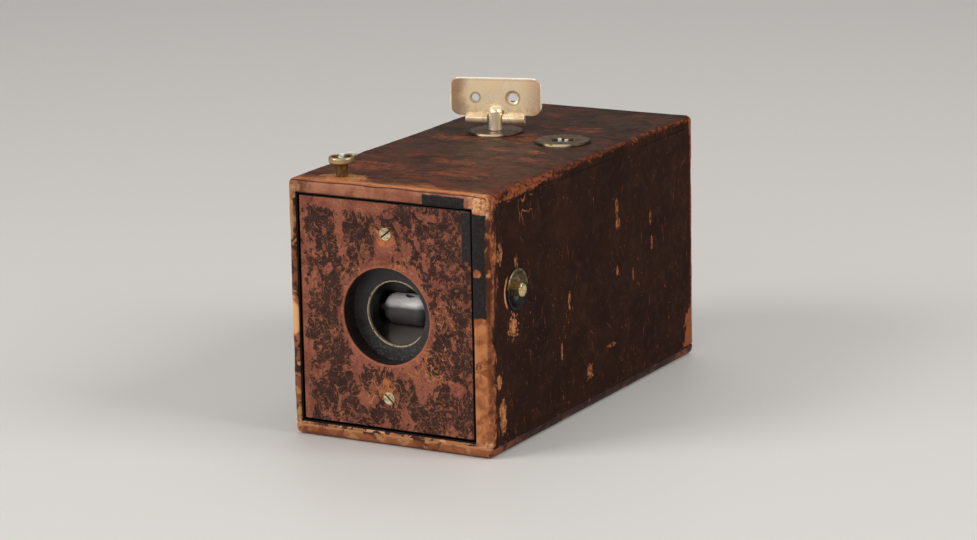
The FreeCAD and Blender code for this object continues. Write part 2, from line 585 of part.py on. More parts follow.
# --- fittings on the top ----------------------------------------------------------------------
def cord_post():
    bore = CORD_RADIUS + 0.25
    profile = [
        (bore, INNER_TOP - BODY_HEIGHT), (2.0, INNER_TOP - BODY_HEIGHT), (2.0, 0), (2.1, 0), (2.15, 2.4),
        (2.35, 3.8), (2.75, 4.7), (4.3, 4.85), (4.65, 5.3), (4.65, 6.7), (4.3, POST_HEIGHT),
        (3.7, POST_HEIGHT), (3.0, 6.5), (1.6, 6.2), (bore, 6.2)]
    return {"cord_post": turned(profile, V(CORD_X, fy(CORD_DEPTH), BODY_HEIGHT), Z_AXIS)}


def key_escutcheon():
    thick, rim = ESCUTCHEON_THICKNESS, ESCUTCHEON_RADIUS
    bore = KEY_JOURNAL_RADIUS + RUNNING
    profile = [
        (bore, INNER_TOP - BODY_HEIGHT), (BUSH_RADIUS, INNER_TOP - BODY_HEIGHT), (BUSH_RADIUS, 0), (rim, 0),
        (rim, 0.45), (rim - 0.3, thick), (bore, thick)]
    return {"key_escutcheon": turned(profile, V(KEY_X, fy(KEY_DEPTH), BODY_HEIGHT), Z_AXIS)}


def winding_key():
    """Stem with a driving blade, a cross pin and the folding plate that the fingers turn."""
    base = V(KEY_X, fy(KEY_DEPTH), 0)
    shoulder = BODY_HEIGHT + ESCUTCHEON_THICKNESS + 0.1
    washer_top = INNER_TOP - 0.1
    blade_bottom, blade_top = GEAR_BOTTOM + 0.5, washer_top - 0.85
    top, r = KEY_STEM_TOP, KEY_STEM_RADIUS
    profile = [
        (0, blade_top), (4.2, blade_top), (4.2, washer_top), (KEY_JOURNAL_RADIUS, washer_top),
        (KEY_JOURNAL_RADIUS, shoulder), (r, shoulder), (r, top - 1.9), (r - 0.2, top - 1.3),
        (r - 0.6, top - 0.75), (r - 1.2, top - 0.3), (r - 1.9, top - 0.06), (0, top)]
    stem = turned(profile, base, Z_AXIS)
    pin = Part.makeCylinder(0.7, 2 * KEY_KNUCKLE_HALF_SPAN, V(-KEY_KNUCKLE_HALF_SPAN, 0, KEY_PIN_Z), X_AXIS)
    half = KEY_PLATE_WIDTH / 2
    near, far = KEY_KNUCKLE_RADIUS - KEY_PLATE_THICKNESS, KEY_KNUCKLE_RADIUS
    low, high = KEY_PIN_Z + 0.9, KEY_PLATE_TOP
    flat = Part.makeBox(8, 4, 9, V(-4, near - 0.05, KEY_PIN_Z - 2.0))
    sheet = Part.makeBox(2 * half, far - near, high - low, V(-half, near, low))
    corners = [e for e in sheet.Edges if abs(e.BoundBox.YLength - (far - near)) < 1e-6]
    sheet = sheet.makeFillet(4.0, corners)
    span, notch = KEY_KNUCKLE_HALF_SPAN, KEY_STEM_RADIUS + 0.3
    tongue = Part.makeBox(2 * span, far - near, 4, V(-span, near, KEY_PIN_Z))
    knuckle = Part.makeCylinder(KEY_KNUCKLE_RADIUS, 2 * span, V(-span, 0, KEY_PIN_Z), X_AXIS)
    plate = joined(sheet, tongue, knuckle)
    plate = plate.cut(Part.makeBox(2 * notch, 8, 6.0, V(-notch, -4, KEY_PIN_Z - 3.1)))
    plate = plate.cut(Part.makeCylinder(0.7 + RUNNING, 2 * span + 2, V(-span - 1, 0, KEY_PIN_Z), X_AXIS))
    hole_z = KEY_PIN_Z + 7.8
    plate = plate.cut(Part.makeCylinder(1.5, 6, V(-7.95, 0, hole_z), Y_AXIS))
    plate = plate.cut(Part.makeCylinder(1.75, 6, V(6.6, 0, hole_z), Y_AXIS))
    plate = plate.cut(Part.makeCone(2.6, 1.75, 0.45, V(6.6, near, hole_z), Y_AXIS))
    rims = [e for e in plate.Edges if e.BoundBox.ZMax > high - 0.01 and e.BoundBox.YLength < 0.01]
    plate = plate.makeFillet(0.25, rims)
    for shape in (pin, plate, flat):
        shape.rotate(V(0, 0, 0), Z_AXIS, KEY_TURN)
        shape.translate(base)
    blade = Part.makeBox(0.9, 4.4, blade_top - blade_bottom + 0.1, base + V(-0.45, -2.2, blade_bottom))
    stem = joined(stem.cut(flat).cut(pin), blade)
    return {"key_stem": stem, "key_pin": pin, "key_plate": plate}


def indicator():
    """Escutcheon ring with the turning counter dial below its window."""
    centre = V(COUNTER_X, fy(COUNTER_DEPTH), BODY_HEIGHT)
    rim, window = ESCUTCHEON_RADIUS, DIAL_WINDOW_RADIUS
    ring = turned(
        [(window, 0), (rim, 0), (rim, 0.55), (rim - 0.35, 1.0), (window + 0.5, 1.05), (window, 0.7)],
        centre, Z_AXIS)
    ring = ring.cut(rod_z(COUNTER_X, COUNTER_DEPTH - rim - 0.3, BODY_HEIGHT + 0.45, BODY_HEIGHT + 2, 1.3))
    washer_top = INNER_TOP - 0.1
    top = -0.15
    profile = [
        (0, washer_top - BODY_HEIGHT - 0.85), (3.0, washer_top - BODY_HEIGHT - 0.85),
        (3.0, washer_top - BODY_HEIGHT), (AXLE_RADIUS, washer_top - BODY_HEIGHT), (AXLE_RADIUS, -0.7),
        (DIAL_RADIUS, -0.7), (DIAL_RADIUS, top), (0, top)]
    dial = turned(profile, centre, Z_AXIS)
    pins = [rod_z(COUNTER_X + dx, COUNTER_DEPTH, BODY_HEIGHT - 0.3, BODY_HEIGHT + 1.2, 0.75) for dx in (-1.4, 1.4)]
    blade_bottom, blade_top = GEAR_TOP + 0.7, washer_top - 0.8
    blade = Part.makeBox(
        0.9, 3.0, blade_top - blade_bottom, V(COUNTER_X - 0.45, fy(COUNTER_DEPTH) - 1.5, blade_bottom))
    return {"indicator_escutcheon": ring, "indicator_dial": joined(dial, blade, *pins)}


# --- film carrier -----------------------------------------------------------------------------
def carrier_frame():
    near, far = CARRIER_FRONT, REAR_BOARD_FRONT
    left, right = PANEL_LEFT, PANEL_RIGHT
    lower = block(left, right, near, far, PANEL_BOTTOM, LOWER_PLATE_TOP)
    upper = block(left, right, near, far, UPPER_PLATE_BOTTOM, UPPER_PLATE_TOP)
    journals = [
        (KEY_X, KEY_DEPTH, 2.5), (SUPPLY_X, SUPPLY_DEPTH, 2.5), (MEASURE_X, MEASURE_DEPTH, 1.2),
        (GUIDE_LEFT_X, GUIDE_DEPTH, 1.2), (GUIDE_RIGHT_X, GUIDE_DEPTH, 1.2)]
    for x, depth, radius in journals:
        lower = lower.cut(rod_z(x, depth, LOWER_PLATE_TOP - 3.1, LOWER_PLATE_TOP + 1, radius + RUNNING))
        upper = upper.cut(rod_z(x, depth, UPPER_PLATE_BOTTOM - 1, UPPER_PLATE_TOP + 1, radius + RUNNING))
    upper = upper.cut(rod_z(
        COUNTER_X, COUNTER_DEPTH, UPPER_PLATE_BOTTOM + 0.8, UPPER_PLATE_TOP + 1, AXLE_RADIUS + RUNNING))
    mask = block(left, right, near, near + 2.0, LOWER_PLATE_TOP, UPPER_PLATE_BOTTOM)
    mask = mask.cut(rod_y(AXIS_X, near - 1, near + 3, AXIS_Z, IMAGE_RADIUS))
    film_back = GUIDE_DEPTH - GUIDE_RADIUS - FILM_GAP
    platen = block(-29.6, 26.4, film_back + 0.2, film_back + 4.5, LOWER_PLATE_TOP, UPPER_PLATE_BOTTOM)
    board = block(left, right, far, REAR_BOARD_BACK, PANEL_BOTTOM, PANEL_TOP)
    leather = block(left, right, REAR_BOARD_BACK, REAR_BOARD_BACK + LEATHER, PANEL_BOTTOM, PANEL_TOP)
    screws = []
    for x in (-27.0, 24.0):
        for z in ((PANEL_BOTTOM + LOWER_PLATE_TOP) / 2, (UPPER_PLATE_BOTTOM + UPPER_PLATE_TOP) / 2):
            shank = rod_y(x, far - 8, REAR_BOARD_BACK, z, 1.0)
            head = rod_y(x, REAR_BOARD_BACK - 1.0, REAR_BOARD_BACK, z, 1.9)
            screw = joined(shank, head)
            screws.append(screw)
            lower, upper, board = lower.cut(screw), upper.cut(screw), board.cut(screw)
    return {
        "carrier_bottom_plate": lower,
        "carrier_top_plate": upper,
        "film_mask": mask,
        "film_platen": platen,
        "rear_board": board,
        "rear_leather": leather,
        "carrier_screws": Part.Compound(screws),
    }


def spools_and_rollers():
    slot_floor = GEAR_BOTTOM + 0.2
    head_top = INNER_TOP - 1.55
    low, high = LOWER_PLATE_TOP - 3.0, UPPER_PLATE_TOP - 0.4

    def spool(x, depth, core, roll, top):
        wood = rod_z(x, depth, FILM_BOTTOM, FILM_TOP, core)
        journal = rod_z(x, depth, low, top, 2.5)
        film = rod_z(x, depth, FILM_BOTTOM, FILM_TOP, roll).cut(wood)
        return joined(wood, journal), film

    takeup, takeup_film = spool(KEY_X, KEY_DEPTH, TAKEUP_CORE_RADIUS, TAKEUP_ROLL_RADIUS, head_top)
    takeup = takeup.cut(block(KEY_X - 0.55, KEY_X + 0.55, KEY_DEPTH - 4, KEY_DEPTH + 4, slot_floor, INNER_TOP))
    supply, supply_film = spool(SUPPLY_X, SUPPLY_DEPTH, SUPPLY_CORE_RADIUS, SUPPLY_ROLL_RADIUS, high)

    def roller(x, depth, radius, top):
        return joined(rod_z(x, depth, FILM_BOTTOM, FILM_TOP, radius), rod_z(x, depth, low, top, 1.2))

    pinion = gear(PINION_TEETH, COUNTER_MODULE, 0.32, 0.5, 0.12,
                  V(MEASURE_X, fy(MEASURE_DEPTH), GEAR_BOTTOM), math.pi / PINION_TEETH, GEAR_TOP - GEAR_BOTTOM, 1.0)
    measuring = joined(roller(MEASURE_X, MEASURE_DEPTH, MEASURE_RADIUS, GEAR_TOP), pinion)
    wheel = gear(COUNTER_TEETH, COUNTER_MODULE, 0.32, 0.5, 0.12,
                 V(COUNTER_X, fy(COUNTER_DEPTH), GEAR_BOTTOM), 0, GEAR_TOP - GEAR_BOTTOM, 1.0)
    shaft = rod_z(COUNTER_X, COUNTER_DEPTH, UPPER_PLATE_BOTTOM + 0.9, GEAR_TOP, AXLE_RADIUS)
    hub = rod_z(COUNTER_X, COUNTER_DEPTH, GEAR_TOP - 0.1, head_top, 2.4)
    wheel = joined(wheel, shaft, hub).cut(block(
        COUNTER_X - 0.55, COUNTER_X + 0.55, COUNTER_DEPTH - 4, COUNTER_DEPTH + 4, GEAR_TOP + 0.4, INNER_TOP))
    return {
        "takeup_spool": takeup,
        "takeup_film_roll": takeup_film,
        "supply_spool": supply,
        "supply_film_roll": supply_film,
        "measuring_roller": measuring,
        "left_guide_roller": roller(GUIDE_LEFT_X, GUIDE_DEPTH, GUIDE_RADIUS, high),
        "right_guide_roller": roller(GUIDE_RIGHT_X, GUIDE_DEPTH, GUIDE_RADIUS, high),
        "indicator_wheel": wheel,
    }


def film_web():
    """Film from the supply roll round the rollers to the take-up roll, as one thin band."""
    stations = [
        (SUPPLY_X, SUPPLY_DEPTH, SUPPLY_ROLL_RADIUS), (MEASURE_X, MEASURE_DEPTH, MEASURE_RADIUS),
        (GUIDE_RIGHT_X, GUIDE_DEPTH, GUIDE_RADIUS), (GUIDE_LEFT_X, GUIDE_DEPTH, GUIDE_RADIUS),
        (KEY_X, KEY_DEPTH, TAKEUP_ROLL_RADIUS)]
    centres = [V(x, fy(depth), FILM_BOTTOM) for x, depth, _ in stations]
    inner = [radius + FILM_GAP for _, _, radius in stations]
    outer = [radius + FILM_THICKNESS for radius in inner]
    height = Z_AXIS * (FILM_TOP - FILM_BOTTOM)
    normals, pieces = [], []
    for k in range(len(stations) - 1):
        way = centres[k + 1] - centres[k]
        along = way / way.Length
        left = V(-along.y, along.x, 0)
        cosine = (inner[k] - inner[k + 1]) / way.Length
        normal = along * cosine + left * math.sqrt(1 - cosine ** 2)
        normals.append(normal)
        pieces.append(polygon_prism(
            [centres[k] + normal * inner[k], centres[k + 1] + normal * inner[k + 1],
             centres[k + 1] + normal * outer[k + 1], centres[k] + normal * outer[k]], height))
    for k in range(1, len(stations) - 1):
        first, last = normals[k - 1], normals[k]
        middle = (first + last) / (first + last).Length
        c = centres[k]
        outline = [
            arc(c + first * inner[k], c + middle * inner[k], c + last * inner[k]),
            line(c + last * inner[k], c + last * outer[k]),
            arc(c + last * outer[k], c + middle * outer[k], c + first * outer[k]),
            line(c + first * outer[k], c + first * inner[k])]
        pieces.append(extruded(outline, height))
    return {"film_web": joined(*pieces)}


def main():
    os.makedirs("parts", exist_ok=True)
    parts = case_boards()
    parts.update(leather_covers())
    panel, screw_holes = front_panel()
    for group in (panel, shutter_frame(screw_holes), barrel(), lens(), bearing_plates(), spring_drum(),
                  cord_pulley(), setting_cord(), release(), rocker(), cord_post(), key_escutcheon(),
                  winding_key(), indicator(), carrier_frame(), spools_and_rollers(), film_web()):
        parts.update(group)
    for name, shape in parts.items():
        box = shape.BoundBox
        state = "ok" if shape.isValid() else "NOT VALID"
        print("%-22s %-9s %d solids  X %.2f..%.2f  Y %.2f..%.2f  Z %.2f..%.2f" % (
            name, state, len(shape.Solids), box.XMin, box.XMax, box.YMin, box.YMax, box.ZMin, box.ZMax))
        shape.exportStep(os.path.join("parts", name + ".step"))


if __name__ == "__main__":
    main()
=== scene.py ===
import json
import math

import bmesh
import bpy
from mathutils import Matrix, Vector, noise

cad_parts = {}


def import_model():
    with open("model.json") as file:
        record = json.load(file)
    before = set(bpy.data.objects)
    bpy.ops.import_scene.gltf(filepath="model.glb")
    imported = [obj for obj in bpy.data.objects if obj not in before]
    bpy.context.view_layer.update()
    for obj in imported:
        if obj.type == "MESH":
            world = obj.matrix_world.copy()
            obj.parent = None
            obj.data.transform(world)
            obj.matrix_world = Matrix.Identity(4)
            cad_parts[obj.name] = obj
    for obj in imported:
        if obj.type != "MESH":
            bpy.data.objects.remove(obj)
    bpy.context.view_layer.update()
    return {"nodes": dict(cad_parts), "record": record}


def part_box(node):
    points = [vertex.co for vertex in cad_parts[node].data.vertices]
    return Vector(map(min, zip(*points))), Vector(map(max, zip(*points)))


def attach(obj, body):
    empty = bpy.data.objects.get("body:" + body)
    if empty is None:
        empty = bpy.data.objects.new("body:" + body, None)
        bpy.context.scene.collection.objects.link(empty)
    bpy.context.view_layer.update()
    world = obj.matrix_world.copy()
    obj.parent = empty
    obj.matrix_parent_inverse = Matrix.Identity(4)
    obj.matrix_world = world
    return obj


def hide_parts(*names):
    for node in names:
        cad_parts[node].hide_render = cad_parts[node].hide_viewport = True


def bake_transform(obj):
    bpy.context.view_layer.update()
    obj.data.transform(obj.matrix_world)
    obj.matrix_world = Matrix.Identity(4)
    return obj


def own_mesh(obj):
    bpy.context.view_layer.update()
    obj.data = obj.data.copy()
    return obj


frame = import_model()
nodes = frame["nodes"]

DEPTH_SHIFT = 82.55      # a depth behind the front plane is Y in mm plus this
WIDTH, HEIGHT, LENGTH = 82.55, 95.25, 165.1


def centre_mm(node):
    """Middle of a CAD node's box as (x, depth, z) in millimetres."""
    low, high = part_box(node)
    x, y, z = [(a + b) * 500 for a, b in zip(low, high)]
    return Vector((x, y + DEPTH_SHIFT, z))


def box_mm(node):
    low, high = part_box(node)
    low = [v * 1000 for v in low]
    high = [v * 1000 for v in high]
    return (low[0], low[1] + DEPTH_SHIFT, low[2]), (high[0], high[1] + DEPTH_SHIFT, high[2])


# --- meshes -----------------------------------------------------------------------------------
def metres(x, d, z):
    """From (x, depth, z) in millimetres to the frame's metres."""
    return x / 1000, (d - DEPTH_SHIFT) / 1000, z / 1000


def added(name, data):
    """New object in the scene."""
    obj = bpy.data.objects.new(name, data)
    bpy.context.scene.collection.objects.link(obj)
    return obj


def piece(name, points, faces, body, material, replaced, smooth_angle=35):
    """New mesh piece from (x, depth, z) points in millimetres, riding on a CAD body."""
    mesh = bpy.data.meshes.new(name)
    mesh.from_pydata([metres(*p) for p in points], [], faces)
    mesh.update()
    mesh.validate()
    mesh.polygons.foreach_set("use_smooth", [True] * len(mesh.polygons))
    mesh.set_sharp_from_angle(angle=math.radians(smooth_angle))
    obj = added(name, mesh)
    mesh.materials.append(material)
    if body:
        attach(obj, body)
    if replaced:
        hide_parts(*replaced)
    return obj


def loft(rings, loop=False, cap=False):
    """Quads between rings of equal length. loop joins the last ring to the first."""
    count = len(rings[0])
    points = [p for ring in rings for p in ring]
    faces = []
    for i in range(len(rings) if loop else len(rings) - 1):
        a, b = i * count, (i + 1) % len(rings) * count
        for j in range(count):
            k = (j + 1) % count
            faces.append((a + j, a + k, b + k, b + j))
    if cap:
        faces.append(tuple(reversed(range(count))))
        faces.append(tuple(range((len(rings) - 1) * count, len(rings) * count)))
    return points, faces


def lathe(profile, centre, axis, turns=72):
    """Turned solid. profile is (radius, distance along the axis); radius 0 ends close it."""
    x, y, z = Matrix.Identity(3)
    u, v, w = {"x": (y, z, x), "y": (x, z, y), "z": (x, y, z)}[axis]
    angles = [2 * math.pi * k / turns for k in range(turns)]
    rings = [[tuple(centre + u * (radius * math.cos(a)) + v * (radius * math.sin(a)) + w * along)
              for a in angles] for radius, along in profile]
    return loft(rings, loop=True)


def tube(path, radius, sides=10):
    """Round tube along points, with a frame carried along so that it doesn't twist."""
    rings = []
    side = None
    for i, p in enumerate(path):
        ahead = (path[min(i + 1, len(path) - 1)] - path[max(i - 1, 0)]).normalized()
        if side is None:
            side = ahead.orthogonal().normalized()
        side = (side - ahead * side.dot(ahead)).normalized()
        other = ahead.cross(side)
        r = radius(i / (len(path) - 1)) if callable(radius) else radius
        angles = [2 * math.pi * k / sides for k in range(sides)]
        rings.append([tuple(p + side * (r * math.cos(a)) + other * (r * math.sin(a))) for a in angles])
    return loft(rings, cap=True)


def merged(*groups):
    points, faces = [], []
    for pts, fcs in groups:
        start = len(points)
        points += list(pts)
        faces += [tuple(i + start for i in f) for f in fcs]
    return points, faces


def wobble(p, size, amount, seed=0.0):
    """A small smooth push that varies over about size millimetres."""
    q = Vector(p) / size + Vector((seed, seed * 1.7, seed * 0.3))
    return noise.noise(q) * amount


# --- materials --------------------------------------------------------------------------------
def srgb(r, g, b):
    def lin(c):
        c /= 255
        return c / 12.92 if c <= 0.04045 else ((c + 0.055) / 1.055) ** 2.4
    return (lin(r), lin(g), lin(b), 1.0)


def grey(value):
    return (value, value, value, 1)


def shade(color, amount):
    return tuple(c * amount for c in color[:3]) + (1.0,)


class Finish:
    """A Principled material whose patterns are laid out in millimetres: x, depth, z."""

    def __init__(self, name):
        self.mat = bpy.data.materials.new(name)
        self.mat.use_nodes = True
        self.tree = self.mat.node_tree
        self.tree.nodes.clear()
        self.bsdf = self.node("BsdfPrincipled")
        self.node("OutputMaterial", self.bsdf.outputs[0])
        coords = self.node("TexCoord").outputs["Object"]
        self.p = self.vector("MULTIPLY_ADD", coords, (1000, 1000, 1000), (0, DEPTH_SHIFT, 0))[0]
        self.x, self.d, self.z = self.split(self.p)
        self.heights = []
        self.round_edges = 0.0

    def link(self, value, socket):
        if isinstance(value, bpy.types.NodeSocket):
            self.tree.links.new(value, socket)
        else:
            socket.default_value = value

    def node(self, kind, *values, operation=None, **named):
        """A shader node with its first inputs, and others by name, linked or set."""
        node = self.tree.nodes.new("ShaderNode" + kind)
        if operation:
            node.operation = operation
        for value, socket in zip(values, node.inputs):
            self.link(value, socket)
        for key, value in named.items():
            self.link(value, node.inputs[key.replace("_", " ")])
        return node

    def vector(self, operation, *values):
        return self.node("VectorMath", *values, operation=operation).outputs

    def math(self, operation, a, b=0.0, c=0.0):
        return self.node("Math", a, b, c, operation=operation).outputs[0]

    def split(self, vector):
        return self.node("SeparateXYZ", vector).outputs[:3]

    def mul(self, *values):
        out = values[0]
        for v in values[1:]:
            out = self.math("MULTIPLY", out, v)
        return out

    def add(self, a, b):
        return self.math("ADD", a, b)

    def sub(self, a, b):
        return self.math("SUBTRACT", a, b)

    def apart(self, a, b):
        return self.math("ABSOLUTE", self.sub(a, b))

    def hypot(self, a, b):
        return self.math("SQRT", self.add(self.mul(a, a), self.mul(b, b)))

    def ragged(self, value, noise, amount):
        """A coordinate pushed to and fro by a noise, for a ragged border."""
        return self.math("MULTIPLY_ADD", self.sub(noise, 0.5), amount, value)

    def most(self, *values):
        out = values[0]
        for v in values[1:]:
            out = self.math("MAXIMUM", out, v)
        return out

    def least(self, *values):
        out = values[0]
        for v in values[1:]:
            out = self.math("MINIMUM", out, v)
        return out

    def flip(self, value):
        return self.sub(1.0, value)

    def step(self, value, low, high, to=(0.0, 1.0)):
        """Smooth rise from 0 at low to 1 at high; it falls where low is above high."""
        if low > high:
            low, high, to = high, low, (to[1], to[0])
        node = self.node("MapRange", value, From_Min=low, From_Max=high, To_Min=to[0], To_Max=to[1])
        node.interpolation_type = "SMOOTHSTEP"
        return node.outputs["Result"]

    def band(self, value, low, high, soft):
        return self.mul(self.step(value, low - soft, low + soft), self.step(value, high + soft, high - soft))

    def frame_at(self, origin, turn=(0, 0, 0)):
        """Coordinates about a local origin (x, depth, z), turned by degrees."""
        node = self.node("Mapping", self.p, origin, [math.radians(t) for t in turn])
        node.vector_type = "TEXTURE"
        return node.outputs[0]

    def noise(self, size, detail=3.0, rough=0.55, warp=0.0, stretch=(1, 1, 1), seed=0.0, at=None, turn=None):
        """Noise with features of about size millimetres, longer along axes with a larger stretch."""
        vector = at or self.p
        if turn:
            vector = self.node("Mapping", vector, Rotation=[math.radians(t) for t in turn]).outputs[0]
        place = (seed * 3.1, seed * 7.7, seed * 1.3)
        vector = self.node("Mapping", vector, Location=place, Scale=[1 / (size * s) for s in stretch])
        tex = self.node("TexNoise", vector.outputs[0], Scale=1.0, Detail=detail, Roughness=rough,
                        Distortion=warp)
        return tex.outputs["Fac"]

    def cells(self, size):
        """Distance to the nearest of scattered points, about size millimetres apart."""
        vector = self.node("Mapping", self.p, Scale=[1 / size] * 3).outputs[0]
        return self.node("TexVoronoi", vector, Scale=1.0, Randomness=1.0).outputs["Distance"]

    def mix(self, fac, a, b):
        node = self.node("Mix", fac)
        node.data_type = "RGBA"
        self.link(a, node.inputs[6])
        self.link(b, node.inputs[7])
        return node.outputs[2]

    def tones(self, fac, a, b):
        """From one sRGB tone to another."""
        return self.mix(fac, srgb(*a), srgb(*b))

    def lay(self, color, tone, *masks):
        """An sRGB tone over a colour, where all the masks are high."""
        return self.mix(self.mul(*masks), color, srgb(*tone))

    def gloss(self, fac, low, high):
        """Roughness between two values."""
        return self.mix(self.step(fac, 0.3, 0.7), grey(low), grey(high))

    def away_from(self, centre):
        return self.vector("DISTANCE", self.p, centre)["Value"]

    def ring_about(self, centre):
        """Distance from an axis along the depth through the centre."""
        return self.hypot(self.sub(self.x, centre.x), self.sub(self.z, centre.z))

    def opening_ring(self):
        return self.ring_about(OPENING)

    def cup_ring(self):
        """Distance in the side's plane from the middle of the release cup."""
        return self.hypot(self.sub(self.d, BUTTON.y), self.sub(self.z, BUTTON.z))

    def spot(self, centre, radii, ragged=0.5, grain=2.0, seed=0.0, soft=0.15):
        """Ragged ellipsoid mask about a place in (x, depth, z)."""
        offset = self.vector("DIVIDE", self.vector("SUBTRACT", self.p, centre)[0], radii)[0]
        value = self.vector("LENGTH", offset)["Value"]
        if ragged:
            value = self.ragged(value, self.noise(grain, 3, 0.6, seed=seed + 4), ragged * 2)
        return self.step(value, 1 + soft, 1 - soft)

    def side_spots(self, *rows):
        """Spots on the right side from rows of depth, z, two radii, ragged, grain and seed."""
        return self.most(*[self.spot((41.3, d, z), (3, rd, rz), *rest) for d, z, rd, rz, *rest in rows])

    def roof_spots(self, *rows):
        """Spots on top from rows of x, depth, two radii, ragged and seed."""
        return self.most(*[self.spot((x, d, 95), (rx, rd, 4), ragged, 6, seed)
                           for x, d, rx, rd, ragged, seed in rows])

    def front_spots(self, *rows):
        """Spots in front from rows of x, z, two radii, ragged, grain and seed."""
        return self.most(*[self.spot((x, 1, z), (rx, 4, rz), *rest) for x, z, rx, rz, *rest in rows])

    def contour(self, size, width=0.01, level=0.5, seed=0.0, stretch=(1, 1, 1), detail=1.0, warp=0.3):
        """Thin winding lines, where a smooth noise crosses a level."""
        n = self.noise(size, detail, 0.5, warp, stretch, seed)
        return self.step(self.apart(n, level), width, width * 0.35)

    def strokes(self, angle, length, width, cut, seed):
        """Short straight scratches at an angle within the side's plane."""
        n = self.noise(width, 0.0, 0.5, 0.0, (8, length / width, 1), seed, turn=(angle, 0, 0))
        return self.step(n, cut, cut + 0.03)

    def bump(self, height, distance, strength=1.0):
        """Adds a relief whose full height is distance in millimetres."""
        self.heights.append((height, distance, strength))

    def done(self, color, rough, metal=0.0, **constants):
        for key, value in dict(Base_Color=color, Roughness=rough, Metallic=metal, **constants).items():
            self.link(value, self.bsdf.inputs[key.replace("_", " ")])
        normal = None
        if self.round_edges:
            bevel = self.node("Bevel", Radius=self.round_edges / 1000)
            bevel.samples = 4
            normal = bevel.outputs[0]
        for height, distance, strength in self.heights:
            node = self.node("Bump", Height=height, Distance=distance / 1000, Strength=strength)
            if normal is not None:
                self.link(normal, node.inputs["Normal"])
            normal = node.outputs[0]
        if normal is not None:
            self.link(normal, self.bsdf.inputs["Normal"])
        return self.mat


INNER = (-WIDTH / 2 + 3.9, WIDTH / 2 - 6.9, 5.4, HEIGHT - 5.4)
BUTTON = centre_mm("release_cup")
OPENING = Vector([v * 1000 for v in next(
    m for m in frame["record"]["mounts"] if m["name"] == "lens_opening")["pos_m"]])
MOUTH = Vector((OPENING.x, 8.5, 46.9))
MOUTH_RADIUS = 11.9
KEY = centre_mm("key_escutcheon")
KEY_TURN = 16.0
KEY_PIN_Z = 100.45
KNOT_Z = HEIGHT + 7.09
CUP_HOLE, DIAL_HOLE, PANEL_HOLE = 7.15, 6.0, 17.75   # radii of the holes in the leather
POST = centre_mm("cord_post")
DIAL = centre_mm("indicator_escutcheon")
SCREWS = box_mm("front_screws")
SCREW_RADIUS = 2.3
SCREW_FACE = SCREWS[0][1]
SCREW_X = (SCREWS[0][0] + SCREWS[1][0]) / 2
SCREWS_AT = [Vector((SCREW_X, 0, z)) for z in (SCREWS[0][2] + SCREW_RADIUS, SCREWS[1][2] - SCREW_RADIUS)]


def grain(f, fine=0.55, coarse=3.0):
    """Leather grain: small pebbles and soft wrinkles."""
    f.bump(f.cells(fine), 0.045, 0.7)
    f.bump(f.noise(coarse, 4, 0.6, 0.4), 0.16, 0.8)


